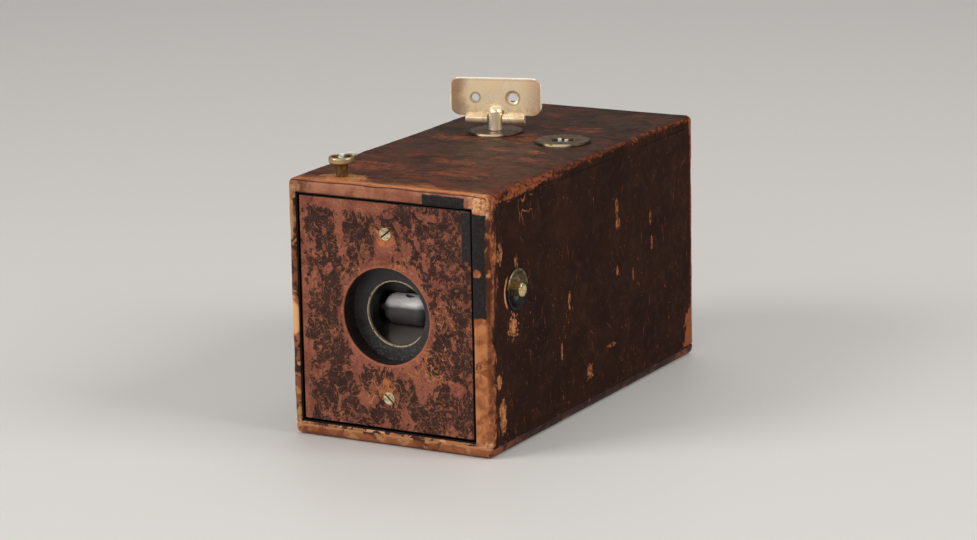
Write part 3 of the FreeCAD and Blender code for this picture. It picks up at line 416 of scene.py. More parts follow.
def cover_leather():
    f = Finish("worn_cover_leather")
    top = f.step(f.z, 93.4, 94.8)
    front = f.step(f.d, 2.4, 0.9)
    fine = f.noise(1.4, 4, 0.65)
    mid = f.noise(5.0, 5, 0.62, 0.5)
    big = f.noise(22.0, 3, 0.5, 0.3)
    speck = f.step(f.noise(0.9, 2, 0.6, seed=3), 0.68, 0.74)
    tan_tone = f.tones(f.step(fine, 0.42, 0.6), (146, 84, 50), (200, 140, 92))

    # right, left and rear sides: very dark, satin, scratched
    side = f.tones(f.step(big, 0.3, 0.7), (33, 14, 6), (45, 21, 10))
    side = f.lay(side, (60, 28, 14), f.step(mid, 0.50, 0.72), 0.4)
    ragged = f.ragged(f.z, mid, 5.0)
    torn = f.noise(3.0, 5, 0.68, 0.6, stretch=(1, 2.2, 1), seed=10)
    upper = f.mul(
        f.step(f.math("MULTIPLY_ADD", f.step(f.d, 80, 5), 3.0, ragged), 93.2, 94.2),
        f.step(torn, 0.40, 0.52))
    side = f.mix(
        f.mul(upper, 0.9), side,
        f.tones(
            f.step(f.add(fine, f.step(f.d, 90, 10, to=(0, 0.12))), 0.46, 0.66), (66, 27, 16), (146, 80, 46)))
    # painted shade: a dark line on the side under the top edge, for a crease
    crease_shade = f.mul(f.band(f.z, 90.7, 91.3, 0.25), f.step(f.noise(30, 2), 0.36, 0.48))
    side = f.lay(side, (12, 6, 4), crease_shade, 0.9)
    reach = f.ragged(f.d, f.noise(9.0, 5, 0.65, 0.6, stretch=(1, 0.6, 1.6), seed=8), 16.0)
    near = f.step(reach, 5.4, 3.4)
    side = f.mix(f.mul(near, 0.92), side, f.tones(f.step(fine, 0.4, 0.62), (112, 58, 36), (168, 102, 64)))
    near_dark = f.mul(
        f.step(f.d, 11.0, 3.0), f.step(f.noise(4.2, 4, 0.6, seed=9, stretch=(1, 0.7, 1.8)), 0.52, 0.57))
    side = f.lay(side, (46, 27, 21), near_dark, 0.9)
    far = f.step(f.ragged(f.d, fine, 3.0), 161.8, 163.0)
    side = f.lay(side, (158, 96, 60), far, 0.85)
    behind = f.step(f.d, 164.5, 164.9)
    tail = f.tones(f.step(torn, 0.44, 0.54), (60, 34, 24), (132, 78, 46))
    side = f.mix(behind, side, f.lay(tail, (176, 118, 76), f.step(mid, 0.56, 0.66), 0.8))
    low = f.step(f.z, 5.0, 3.6)
    side = f.lay(side, (74, 38, 26), low, 0.5)
    flecks = f.side_spots(
        (99.1, 71.5, 1.2, 3.6, 0.5, 1.3, 1), (99.8, 65.4, 1.9, 2.0, 0.6, 1.2, 2),
        (8.2, 73.2, 1.7, 4.2, 0.6, 1.3, 3), (20.0, 67.2, 1.3, 3.0, 0.6, 1.2, 4),
        (128.0, 52.0, 0.8, 3.0, 0.6, 1.1, 5), (60.2, 44.5, 0.9, 3.6, 0.6, 1.1, 6),
        (99.0, 47.5, 1.1, 1.8, 0.6, 1.1, 10), (54.0, 27.0, 0.6, 3.6, 0.6, 1.1, 16),
        (127.0, 62.0, 0.8, 2.8, 0.6, 1.1, 17), (112.0, 43.0, 0.5, 2.4, 0.6, 1.1, 18),
        (94.0, 20.0, 3.4, 0.8, 0.8, 1.1, 19), (76.0, 14.0, 2.2, 2.4, 1.6, 1.4, 20))
    scars = f.most(
        f.mul(flecks, f.step(f.noise(1.5, 4, 0.75, 0.8, stretch=(1, 0.7, 1.6), seed=22), 0.45, 0.51)),
        f.side_spots(
            (8.6, 14.0, 2.2, 5.5, 1.0, 2.2, 7), (6.5, 27.0, 1.6, 2.6, 1.0, 1.8, 8),
            (163.5, 7.0, 7.0, 11.0, 1.0, 3.2, 11), (163.6, 91.5, 2.6, 4.5, 0.9, 2.2, 12),
            (17.0, 45.0, 2.8, 3.6, 2.2, 1.4, 13)))
    side = f.mix(
        f.mul(scars, 0.92), side, f.lay(tan_tone, (142, 80, 45), f.step(f.d, 30, 150, to=(0.2, 1.0))))
    broken = f.step(f.noise(3.2, 3, 0.6, seed=14), 0.50, 0.58)
    lines = f.mul(
        broken,
        f.most(
            f.strokes(78, 24, 0.30, 0.815, 1), f.strokes(100, 14, 0.34, 0.815, 2),
            f.strokes(40, 12, 0.28, 0.83, 3), f.strokes(142, 12, 0.28, 0.835, 4)))
    curls = f.mul(f.contour(9.0, 0.009, 0.52, 5), f.spot((41.3, 29.0, 86.0), (3, 10, 5), 0.4, 3, 15))
    ticks = f.step(f.noise(1.5, 2, 0.6, stretch=(1, 0.45, 2.0), seed=18), 0.690, 0.72)
    dots = f.step(f.noise(0.8, 1, 0.5, seed=23), 0.755, 0.775)
    patchy = f.step(f.add(f.noise(14, 3, 0.6, seed=2), f.step(f.z, 80, 20, to=(-0.05, 0.04))), 0.49, 0.60)
    marks = f.most(
        f.mul(lines, 1.0), curls, f.mul(ticks, patchy), f.mul(dots, 0.8), f.mul(speck, patchy, 0.35))
    side = f.lay(side, (164, 102, 66), marks, 0.74)
    ring_gap = f.apart(f.cup_ring(), 9.0)
    ring = f.mul(
        f.step(ring_gap, 0.7, 0.3), f.step(f.d, 15.5, 12.5), f.step(f.apart(f.z, BUTTON.z), 6.5, 4.0))
    ring = f.mul(ring, f.step(f.x, 35, 38))
    side = f.lay(side, (196, 134, 84), ring, f.step(fine, 0.3, 0.5))
    # painted shade: near-black leather close round the release cup's hole
    cup_hole_shade = f.mul(f.step(f.cup_ring(), 8.6, 7.8), f.step(f.x, 35, 38), 0.7)
    side = f.lay(side, (26, 16, 12), cup_hole_shade)

    # top: dark grey-brown with orange wear, brightest in front
    sweep = f.noise(5.0, 5, 0.62, 0.7, stretch=(2.6, 1.3, 1), seed=11)
    drag = f.noise(9.0, 5, 0.64, 0.9, stretch=(1.6, 1.0, 1), seed=12)
    toback = f.step(f.d, 15, 95)
    roof = f.tones(toback, (76, 42, 27), (64, 42, 32))
    roof = f.lay(roof, (36, 24, 17), f.step(drag, 0.46, 0.62), 0.7)
    ember = f.step(f.add(sweep, f.mul(toback, -0.06)), 0.50, 0.64)
    roof = f.lay(roof, (108, 46, 24), ember, 0.6)
    blaze = f.step(
        f.add(f.noise(3.4, 5, 0.68, 0.8, stretch=(2.4, 1, 1), seed=13), f.mul(toback, -0.06)), 0.60, 0.68)
    roof = f.lay(roof, (134, 72, 42), blaze, 0.6)
    feather = f.step(f.noise(3.0, 6, 0.74, 0.9, stretch=(2.6, 1.1, 1), seed=19), 0.44, 0.56)
    fire = f.roof_spots(
        (4, 49, 12, 5.0, 0.8, 21), (24, 62, 11, 4.0, 0.9, 22), (3, 97, 9, 9.0, 1.2, 23),
        (17, 30, 14, 5.0, 1.0, 24), (-21, 88, 12, 6.0, 1.2, 25), (14, 122, 13, 4.0, 1.2, 26),
        (-22, 30, 15, 8.0, 1.0, 28), (14, 76, 12, 4.0, 1.2, 32))
    ash = f.step(f.noise(1.6, 4, 0.7, stretch=(1.8, 1, 1), seed=30), 0.40, 0.58)
    roof = f.mix(f.mul(fire, feather, 0.7), roof, f.tones(ash, (92, 44, 26), (142, 76, 44)))
    fronts = f.ragged(f.d, f.noise(8.0, 5, 0.68, 0.7, stretch=(2.4, 1, 1), seed=20), 26.0)
    tan = f.mul(f.step(fronts, 9.0, 3.0), f.step(fine, 0.30, 0.5))
    roof = f.lay(roof, (168, 100, 58), tan, 0.8)
    by_post = f.mul(f.spot((POST.x + 2, POST.y - 1, 95), (9, 5.5, 4), 0.7, 3, 27), f.step(fine, 0.3, 0.5))
    roof = f.lay(roof, (192, 128, 78), by_post, 0.8)
    edge_line = f.mul(
        f.step(f.d, 4.2, 2.4), f.step(f.noise(4, 4, 0.6, stretch=(3, 1, 1), seed=29), 0.34, 0.5))
    roof = f.lay(roof, (190, 122, 70), edge_line, 0.85)
    rim = f.mul(f.step(f.ragged(f.x, fine, 2.0), 39.2, 40.4), f.step(torn, 0.36, 0.50))
    roof = f.mix(
        f.mul(rim, 0.85), roof,
        f.tones(
            f.step(f.add(fine, f.step(f.d, 90, 10, to=(0, 0.12))), 0.47, 0.66), (70, 28, 16), (140, 76, 44)))
    cracks = f.contour(7.0, 0.010, 0.5, 31, stretch=(3.0, 1, 1), detail=3)
    roof = f.lay(roof, (34, 22, 17), cracks, 0.4)
    roof = f.lay(roof, (180, 118, 80), speck, 0.35)

    # front rails and stiles
    smudge = f.noise(6.0, 5, 0.62, 0.6, seed=41)
    patch = f.noise(6.0, 5, 0.66, 0.6, seed=42)
    rail = f.tones(f.step(smudge, 0.35, 0.65), (130, 76, 56), (164, 108, 84))
    stile = f.tones(f.step(patch, 0.47, 0.52), (62, 38, 30), (150, 92, 62))
    stile = f.lay(stile, (200, 146, 100), f.step(smudge, 0.54, 0.58))
    bottom = f.tones(f.step(patch, 0.49, 0.54), (72, 42, 33), (170, 112, 74))
    bottom = f.lay(bottom, (206, 150, 106), f.step(smudge, 0.55, 0.60))
    right = f.tones(f.step(smudge, 0.38, 0.62), (140, 80, 50), (186, 120, 76))
    right = f.lay(right, (78, 46, 34), f.step(patch, 0.58, 0.63), 0.75)
    right = f.lay(right, (92, 46, 28), f.step(f.x, 39.3, 40.6), f.step(patch, 0.40, 0.5), 0.7)
    face = f.mix(f.step(f.x, 28.0, 34.5), stile, right)
    face = f.mix(f.step(f.z, 6.6, 4.4), face, bottom)
    face = f.mix(f.step(f.z, 88.2, 90.4), face, rail)
    corner = f.front_spots(
        (39.5, 91.5, 6.5, 5.5, 0.5, 3, 43), (-39.8, 91.5, 4.0, 4.4, 0.5, 3, 44),
        (39.0, 2.0, 6, 4, 0.6, 3, 45), (-39.5, 3.0, 4, 4, 0.6, 3, 46))
    face = f.mix(f.mul(corner, 0.9), face, f.tones(f.step(fine, 0.4, 0.6), (186, 122, 82), (222, 170, 124)))
    gash = f.most(
        f.spot((-39.6, 1, 43.5), (2.6, 3, 6.5), 0.4, 3, 47),
        f.spot((-39.9, 1, 80.0), (1.4, 3, 9.0), 0.7, 3, 48))
    face = f.lay(face, (214, 160, 108), gash)
    crack = f.mul(f.contour(5.0, 0.014, 0.5, 49, detail=3, warp=0.8), corner)
    face = f.lay(face, (84, 48, 32), crack, 0.7)
    part = f.most(f.step(f.z, 48.0, 56.0), f.mul(f.step(f.z, 38.0, 30.0), 0.7))
    shaded = f.mul(part, f.step(f.x, -30.0, -34.0), f.step(patch, 0.34, 0.46))
    face = f.lay(face, (70, 42, 31), shaded, 0.5)
    # painted shade: darker brown on the rounded right edge of the front, where it turns away from the light
    right_edge_shade = f.mul(
        f.step(f.x, 38.8, 39.8), f.step(f.z, 46.0, 56.0), f.step(f.z, 88.6, 86.0),
        f.step(patch, 0.34, 0.46))
    face = f.lay(face, (64, 36, 25), right_edge_shade, 0.85)
    gap = f.most(
        f.most(f.sub(INNER[0], f.x), f.sub(f.x, INNER[1])),
        f.most(f.sub(INNER[2], f.z), f.sub(f.z, INNER[3])))
    # painted shade: a dark line along the top's rounded front edge, for a fold
    fold_shade = f.mul(
        f.band(f.d, 0.75, 1.15, 0.18), f.step(f.z, 93.0, 93.8), f.step(f.noise(16, 2, seed=50), 0.34, 0.44))
    face = f.lay(face, (34, 20, 15), fold_shade, 0.85)

    color = f.mix(top, side, roof)
    color = f.mix(front, color, face)
    # painted shade: near-black on the leather turned in round the frame's opening
    color = f.lay(color, (12, 8, 6), f.step(gap, 0.55, 0.30), f.step(f.d, 8.0, 6.0))
    # black repair tape on the top rail and down the right stile
    rag = f.sub(f.noise(2.6, 3, 0.6, seed=51), 0.5)
    tx = f.math("MULTIPLY_ADD", rag, 1.6, f.x)
    tz = f.math("MULTIPLY_ADD", rag, -1.6, f.z)
    strip_top = f.mul(f.band(tx, 14.8, 31.8, 0.25), f.band(tz, 89.0, 93.9, 0.25))
    strip_side = f.mul(f.band(tx, 33.5, 39.9, 0.25), f.band(tz, 51.0, 88.6, 0.3))
    strip_side = f.mul(strip_side, f.flip(f.spot((36.4, 0.6, 67.2), (1.7, 3, 1.5), 0.5, 2, 52)))
    tape = f.mul(f.most(strip_top, strip_side), f.step(f.d, 1.9, 1.3))
    color = f.mix(tape, color, f.tones(f.step(fine, 0.45, 0.68), (36, 33, 32), (50, 46, 45)))

    rough = f.mix(f.most(f.mul(top, 0.8), front), grey(0.72), grey(0.40))
    rough = f.mix(f.step(mid, 0.4, 0.7), rough, grey(0.60))
    f.bump(f.mul(marks, -1.0), 0.05, 0.5)
    f.bump(f.mul(f.most(scars, tape, crack), -1.0), 0.10, 0.5)
    grain(f)
    return f.done(color, rough, Specular_IOR_Level=0.075)


def bottom_leather():
    f = Finish("bottom_leather")
    mid = f.noise(6.0, 5, 0.62, 0.5, seed=3)
    fine = f.noise(1.3, 4, 0.6, seed=4)
    color = f.tones(f.step(mid, 0.35, 0.65), (38, 21, 15), (60, 33, 23))
    color = f.lay(color, (22, 12, 9), f.step(f.z, 3.2, 3.9))
    edge = f.mul(f.step(f.z, 2.2, 0.6), f.step(f.z, -0.2, 0.3), f.step(mid, 0.50, 0.60))
    color = f.lay(color, (120, 70, 46), edge, 0.6)
    front = f.step(f.d, 3.0, 1.0)
    mottled = f.tones(f.step(f.noise(7.5, 4, 0.62, 0.5, seed=42), 0.43, 0.49), (74, 46, 36), (182, 128, 86))
    color = f.mix(f.mul(front, 0.95), color, mottled)
    near = f.mul(f.step(f.d, 26.0, 6.0), f.step(f.z, 3.6, 3.0), f.step(mid, 0.38, 0.52))
    color = f.lay(color, (140, 76, 46), near, 0.8)
    far = f.mul(f.step(f.d, 142.0, 158.0), f.step(f.z, 3.6, 3.0), f.step(mid, 0.38, 0.52))
    color = f.lay(color, (136, 70, 40), far, 0.8)
    scuffs = f.step(f.noise(2.2, 4, 0.65, 0.4, seed=8), 0.60, 0.68)
    color = f.lay(color, (150, 104, 78), scuffs, 0.4)
    rough = f.gloss(fine, 0.45, 0.62)
    grain(f)
    return f.done(color, rough, Specular_IOR_Level=0.12)


def panel_leather(name, front):
    """Red-brown leather whose dark surface has flaked away in patches."""
    f = Finish(name)
    fine = f.noise(1.1, 4, 0.65, seed=1)
    lace = f.noise(5.2, 7, 0.70, 0.7, stretch=(0.85, 1, 1.2), seed=2)
    crumb = f.noise(1.5, 5, 0.74, 0.6, seed=3)
    cover = f.noise(15.0, 3, 0.5, 0.4, stretch=(0.8, 1, 1.3), seed=6)
    base = f.tones(f.step(f.noise(9, 4, 0.6, seed=5), 0.34, 0.66), (112, 62, 50), (142, 84, 66))
    base = f.lay(base, (160, 94, 66), f.step(fine, 0.46, 0.7), 0.4)
    level = f.add(f.mul(lace, 0.62), f.add(f.mul(crumb, 0.24), f.mul(cover, 0.20)))
    if front:
        halo = f.mul(f.step(f.opening_ring(), 22.0, 18.5), 0.07)
        columns = f.front_spots((-26, 77, 4.0, 9, 0.7, 4, 61), (-14.5, 77, 4.0, 9, 0.7, 4, 62))
        clear_top = f.mul(f.step(f.z, 83.5, 87.0), f.step(f.x, 0.0, -6.0), 0.10)
        clear_left = f.mul(f.step(f.x, -32.5, -35.8), 0.07)
        clear_gap = f.mul(f.spot((-20.2, 1, 79), (1.6, 4, 8), 0.6, 4, 60), 0.06)
        clear_mid = f.mul(f.spot((-1.5, 1, 72), (4.0, 4, 7), 0.6, 4, 63), 0.09)
        dark_low = f.front_spots(
            (-15, 16, 18, 10, 0.6, 6, 64), (24, 12, 12, 9, 0.6, 6, 65), (18, 74, 10, 12, 0.6, 6, 66),
            (-27, 38, 7, 14, 0.6, 6, 67))
        level = f.add(level, f.add(f.mul(columns, 0.035), f.mul(dark_low, 0.022)))
        for away in (halo, clear_top, clear_left, clear_gap, clear_mid):
            level = f.sub(level, away)
    dark = f.step(level, 0.514, 0.528)
    tone = f.tones(f.step(f.noise(2.4, 3, seed=7), 0.35, 0.65), (42, 26, 23), (60, 38, 33))
    color = f.mix(f.mul(dark, 0.95), base, tone)
    # orange and tan scuffs, thickest at the lower right of the opening and round the screws
    scratchy = f.noise(2.2, 7, 0.78, 1.2, stretch=(0.8, 1, 1.6), seed=9)
    thin = f.contour(6.0, 0.014, 0.5, 17, detail=4, warp=1.2)
    if front:
        low_screw, high_screw = [screw.z for screw in SCREWS_AT]
        zone = f.most(
            f.mul(f.spot((15, 1, 33), (13, 4, 8), 0.6, 5, 71), 0.75),
            f.mul(f.spot((-3, 1, low_screw + 2), (7, 4, 8), 0.7, 4, 72), 1.0),
            f.mul(f.spot((-1, 1, high_screw - 2), (5.0, 4, 5.0), 0.7, 4, 73), 1.0),
            f.mul(f.step(f.opening_ring(), 22.5, 18.5), 0.75),
            f.mul(f.spot((20, 1, 46), (8, 4, 12), 0.5, 5, 74), 0.6), 0.30)
    else:
        zone = f.mul(f.step(f.noise(16, 2, seed=19), 0.4, 0.6), 0.7)
    scuff = f.step(f.add(scratchy, f.mul(zone, 0.075)), 0.640, 0.675)
    color = f.mix(f.mul(scuff, 0.8), color, f.tones(f.step(crumb, 0.4, 0.6), (164, 88, 46), (198, 126, 70)))
    color = f.lay(color, (204, 136, 84), thin, f.least(f.mul(zone, 1.6), 1.0), 0.6)
    speck = f.step(f.noise(0.8, 2, 0.6, seed=21), 0.68, 0.75)
    color = f.lay(color, (200, 134, 94), speck, 0.6)
    wisp = f.mul(
        f.contour(3.4, 0.022, 0.5, 27, detail=3, warp=1.0), f.step(f.noise(7, 3, seed=28), 0.54, 0.60))
    color = f.lay(color, (176, 108, 74), wisp, 0.4)
    if front:
        at_screws = f.most(
            f.spot((SCREWS[0][0] + 1.6, 1, low_screw + 2.6), (3.4, 4, 4.2), 0.8, 2, 75),
            f.spot((SCREWS[0][0] + 2.3, 1, high_screw - 1.4), (3.2, 4, 3.2), 0.8, 2, 76))
        at_screws = f.mul(at_screws, f.step(f.add(f.mul(crumb, 0.5), f.mul(scratchy, 0.5)), 0.45, 0.52))
        color = f.lay(color, (186, 112, 62), at_screws, 0.85)
        # painted shade: a thin near-black ring round each screw head
        for screw in SCREWS_AT:
            color = f.lay(color, (12, 8, 6), f.step(f.ring_about(screw), 2.35, 2.2))
        lip = f.mul(f.step(f.opening_ring(), 18.9, 18.1), f.step(fine, 0.34, 0.5))
        color = f.lay(color, (164, 100, 74), lip, 0.8)
        # painted shade: darker leather where it turns in at the opening
        opening_shade = f.step(f.d, 1.35, 1.6)
        color = f.lay(color, (40, 26, 21), opening_shade)
        rag = f.sub(f.noise(2.4, 3, 0.6, seed=77), 0.5)
        tape = f.mul(
            f.step(f.math("MULTIPLY_ADD", rag, 1.8, f.x), 29.6, 30.1),
            f.band(f.math("MULTIPLY_ADD", rag, 2.0, f.z), 70.6, 88.4, 0.3))
        color = f.mix(tape, color, f.tones(f.step(fine, 0.45, 0.68), (42, 37, 36), (54, 48, 46)))
        loop = f.mul(f.step(f.apart(f.away_from((-30.0, 1, 84.5)), 1.3), 0.5, 0.25), 0.55)
        color = f.lay(color, (56, 34, 28), loop)
        # painted shade: near-black along the panel's outer edges, in the gap to the frame
        low, high = box_mm("front_leather")
        inside = f.least(
            f.least(f.sub(f.x, low[0]), f.sub(high[0], f.x)),
            f.least(f.sub(f.z, low[2]), f.sub(high[2], f.z)))
        color = f.lay(color, (14, 9, 7), f.step(inside, 0.50, 0.30))
    rough = f.mix(dark, grey(0.62), grey(0.45))
    rough = f.mix(f.mul(scuff, 0.5), rough, grey(0.8))
    f.bump(dark, 0.09, 0.8)
    f.bump(f.mul(thin, -1.0), 0.06, 0.4)
    if front:
        f.bump(tape, 0.25, 0.7)
    grain(f, 0.6, 4.0)
    return f.done(color, rough, Specular_IOR_Level=0.12)


def black_wood():
    """Blackened wood, rubbed through to a tan line on the rim of the mouth."""
    f = Finish("blackened_wood")
    fine = f.noise(0.9, 4, 0.65, seed=2)
    mid = f.noise(4.0, 4, 0.6, seed=3)
    lines = f.noise(0.5, 3, 0.6, stretch=(12, 1, 1), seed=4)
    color = f.tones(f.step(mid, 0.3, 0.7), (27, 26, 25), (45, 43, 41))
    color = f.lay(color, (62, 60, 58), f.step(lines, 0.5, 0.7), 0.35)
    ring = f.ring_about(MOUTH)
    rim = f.mul(
        f.step(f.apart(ring, MOUTH_RADIUS), 0.50, 0.22), f.step(f.d, 10.2, 9.0), f.step(fine, 0.34, 0.46))
    arc = f.most(f.step(f.x, MOUTH.x + 8.0, MOUTH.x + 5.0), f.step(f.z, MOUTH.z - 6.0, MOUTH.z - 9.0))
    color = f.lay(color, (206, 184, 148), rim, arc, 0.9)
    dust = f.mul(f.step(fine, 0.50, 0.70), f.step(f.z, MOUTH.z + 4, MOUTH.z - 12))
    color = f.lay(color, (116, 108, 100), dust, 0.5)
    # painted shade: darker on the walls inside the mouth
    inside = f.mul(f.step(f.d, 9.4, 11.0), f.step(ring, 12.6, 11.8))
    color = f.lay(color, (30, 27, 27), inside, 0.6)
    # painted light: the lower wall inside the mouth is coloured paler, as if lit
    way = f.mul(inside, f.step(f.z, MOUTH.z - 6.0, MOUTH.z - 8.0))
    color = f.lay(color, (92, 84, 79), way, 0.85)
    rough = f.gloss(mid, 0.42, 0.60)
    f.bump(lines, 0.03, 0.6)
    f.bump(fine, 0.04, 0.5)
    return f.done(color, rough, Specular_IOR_Level=0.5)


def wood(name, light, dark, stretch, shine=0.5):
    """Plain hardwood with long pores along the stretched axis."""
    f = Finish(name)
    rings = f.noise(4.0, 4, 0.55, 1.2, stretch=stretch, seed=1)
    pores = f.noise(0.45, 3, 0.6, stretch=[max(1.0, s * 2.2) for s in stretch], seed=2)
    blot = f.noise(16, 3, 0.5, seed=3)
    color = f.mix(f.step(rings, 0.35, 0.65), light, dark)
    color = f.mix(f.mul(f.step(pores, 0.56, 0.7), 0.5), color, shade(dark, 0.45))
    color = f.mix(f.mul(f.step(blot, 0.5, 0.75), 0.3), color, shade(dark, 0.7))
    rough = f.gloss(rings, shine - 0.08, shine + 0.1)
    if name == "case_wood":
        # painted shade: the case wood is coloured near-black near the front
        color = f.lay(color, (12, 8, 6), f.step(f.d, 4.5, 3.0))
    f.bump(pores, 0.05, 0.6)
    f.bump(rings, 0.06, 0.4)
    return f.done(color, rough, Specular_IOR_Level=0.45)


def metal(name, bright, dull, tarnish, rough=0.3, size=3.0, cover=(0.52, 0.66), lines=None, metallic=0.9):
    """Worn metal: bright where rubbed, dull elsewhere, with tarnish in patches and fine lines."""
    f = Finish(name)
    f.round_edges = 0.3
    mid = f.noise(size, 5, 0.62, 0.5, seed=1)
    fine = f.noise(0.35, 4, 0.65, seed=2)
    color = f.mix(f.step(mid, 0.35, 0.62), bright, dull)
    color = f.mix(f.step(f.noise(size * 0.6, 5, 0.68, 0.8, seed=3), cover[0], cover[1]), color, tarnish)
    color = f.mix(f.mul(f.step(fine, 0.6, 0.74), 0.4), color, tarnish)
    value = f.gloss(mid, rough * 0.75, min(1, rough * 1.5))
    hair = f.noise(0.16, 2, 0.5, stretch=lines or (1, 20, 1), seed=5)
    f.bump(hair, 0.012, 0.5)
    f.bump(fine, 0.02, 0.5)
    return f.done(color, value, metallic)


def post_metal():
    """Brown brass with a lighter rubbed rim and a dish black with dirt."""
    f = Finish("post_brass")
    f.round_edges = 0.2
    mid = f.noise(2.0, 4, 0.6, 0.4, seed=1)
    fine = f.noise(0.35, 4, 0.65, seed=2)
    color = f.tones(f.step(mid, 0.38, 0.62), (150, 116, 72), (106, 78, 50))
    rim = f.band(f.z, HEIGHT + 5.3, HEIGHT + 7.4, 0.3)
    color = f.lay(color, (196, 170, 124), rim, 0.75)
    color = f.lay(color, (60, 46, 34), f.step(fine, 0.54, 0.7), 0.5)
    away = f.hypot(f.sub(f.x, POST.x), f.sub(f.d, POST.y))
    dish = f.mul(f.step(away, 3.9, 3.5), f.step(f.z, HEIGHT + 5.6, HEIGHT + 5.9))
    color = f.lay(color, (30, 24, 19), dish, 0.9)
    rough = f.gloss(mid, 0.30, 0.48)
    f.bump(fine, 0.02, 0.5)
    return f.done(color, rough, 0.8)


def key_plate_metal():
    """Nickel worn to pale gold, with a painted highlight along the edges, a darker left end and drawn lines
    along the sheet.
    """
    f = Finish("key_plate_nickel")
    f.round_edges = 0.45
    local = f.frame_at((KEY.x, KEY.y, KEY_PIN_Z), (0, 0, KEY_TURN))
    lx, _, lz = f.split(local)
    mid = f.noise(5.0, 5, 0.6, 0.5, seed=1, at=local)
    fine = f.noise(0.5, 4, 0.65, seed=2, at=local)
    color = f.tones(f.step(mid, 0.32, 0.68), (255, 234, 196), (255, 226, 182))
    left = f.step(f.ragged(lx, mid, 6.0), -9.5, -15.5)
    color = f.lay(color, (156, 112, 80), left, 0.8)
    right = f.step(lx, 9.0, 17.6)
    color = f.lay(color, (190, 138, 104), right, 0.55)
    low = f.mul(f.step(lz, 5.5, 2.0), f.step(f.noise(2.0, 5, 0.7, 0.6, seed=3, at=local), 0.42, 0.58))
    color = f.lay(color, (160, 130, 96), low, 0.4)
    for x, r in ((-7.95, 1.5), (6.6, 2.3)):
        gap = f.hypot(f.sub(lx, x), f.sub(lz, 7.8))
        color = f.lay(color, (140, 114, 88), f.band(gap, r - 0.2, r + 0.7, 0.2), 0.6)
    spots = f.step(f.noise(1.4, 5, 0.7, 0.6, seed=6, at=local), 0.68, 0.76)
    color = f.lay(color, (176, 142, 104), spots, 0.35)
    shade = f.most(f.band(lz, 14.3, 14.8, 0.2), f.band(f.math("ABSOLUTE", lx), 16.6, 17.1, 0.2))
    color = f.lay(color, (190, 154, 114), shade, 0.35)
    # painted highlight: a near-white line round the plate's edges
    edge = f.most(f.step(lz, 14.8, 15.1), f.step(f.math("ABSOLUTE", lx), 17.1, 17.4))
    color = f.lay(color, (255, 244, 222), edge)
    rough = f.gloss(mid, 0.24, 0.42)
    f.bump(f.noise(0.18, 2, 0.5, stretch=(1, 1, 22), seed=7, at=local), 0.02, 0.5)
    f.bump(mid, 0.10, 0.3)
    f.bump(fine, 0.02, 0.4)
    return f.done(color, rough, 0.4)


def patina_metal():
    """Grey-olive patina on the two discs, with a painted highlight on the front of their rims."""
    f = Finish("disc_patina")
    f.round_edges = 0.3
    mid = f.noise(2.6, 5, 0.65, 0.7, seed=1)
    fine = f.noise(0.5, 4, 0.65, seed=2)
    color = f.tones(f.step(mid, 0.36, 0.62), (126, 100, 76), (84, 66, 52))
    color = f.lay(color, (134, 116, 88), f.step(fine, 0.55, 0.7), 0.5)
    for c in (KEY, DIAL):
        dx = f.sub(f.x, c.x)
        dd = f.sub(f.d, c.y)
        away = f.hypot(dx, dd)
        rim = f.band(away, 9.6, 10.8, 0.2)
        color = f.lay(color, (60, 50, 38), rim, 0.8)
        # painted highlight on the front of each rim
        lit = f.mul(
            rim, f.step(f.math("ABSOLUTE", f.add(dx, f.mul(dd, 0.25))), 6.0, 3.0), f.step(dd, -4.0, -8.0))
        color = f.lay(color, (226, 202, 158), lit, 0.95)
    pins = f.mul(
        f.step(f.away_from((DIAL.x, DIAL.y, HEIGHT + 0.9)), 2.6, 2.3),
        f.step(f.z, HEIGHT - 0.05, HEIGHT + 0.15))
    color = f.lay(color, (255, 255, 250), pins)
    rough = f.gloss(mid, 0.30, 0.55)
    f.bump(fine, 0.03, 0.5)
    f.bump(mid, 0.05, 0.5)
    return f.done(color, rough, 0.8)


def cord_fibre():
    f = Finish("cord_fibre")
    strands = f.noise(0.22, 3, 0.6, stretch=(1, 1, 2.5), seed=1)
    mid = f.noise(1.6, 3, 0.6, seed=2)
    color = f.tones(f.step(mid, 0.35, 0.65), (222, 214, 198), (186, 174, 152))
    color = f.lay(color, (150, 138, 118), f.step(strands, 0.52, 0.66), 0.6)
    f.bump(strands, 0.08, 0.8)
    return f.done(color, 0.85, Sheen_Weight=0.3)


def barrel_paint():
    """Satin black drum, with painted light: its upper side is coloured near-white as if lit from above."""
    f = Finish("barrel_black")
    mid = f.noise(2.5, 4, 0.6, 0.4, stretch=(2.5, 1, 1), seed=1)
    fine = f.noise(0.3, 4, 0.65, stretch=(5, 1, 1), seed=2)
    color = f.tones(f.step(mid, 0.35, 0.65), (50, 46, 47), (66, 61, 62))
    over = centre_mm("shutter_barrel").z
    # painted light: near-white colour along the drum's upper side stands for the light falling on it
    lit_top = f.step(f.ragged(f.z, mid, 2.0), over + 1.0, over + 4.0)
    color = f.lay(color, (255, 252, 250), lit_top)
    color = f.lay(color, (104, 99, 99), f.step(fine, 0.56, 0.7), 0.3)
    rough = f.gloss(mid, 0.48, 0.58)
    f.bump(fine, 0.02, 0.5)
    return f.done(color, rough, 0.1, Specular_IOR_Level=0.7)


def film_base():
    f = Finish("film_base")
    mid = f.noise(12.0, 3, 0.5, seed=1)
    color = f.tones(f.step(mid, 0.35, 0.65), (58, 52, 56), (84, 76, 78))
    rough = f.gloss(f.noise(2.0, 3, seed=2), 0.16, 0.30)
    f.bump(f.noise(8.0, 2, seed=3), 0.10, 0.4)
    return f.done(color, rough, Specular_IOR_Level=0.6)


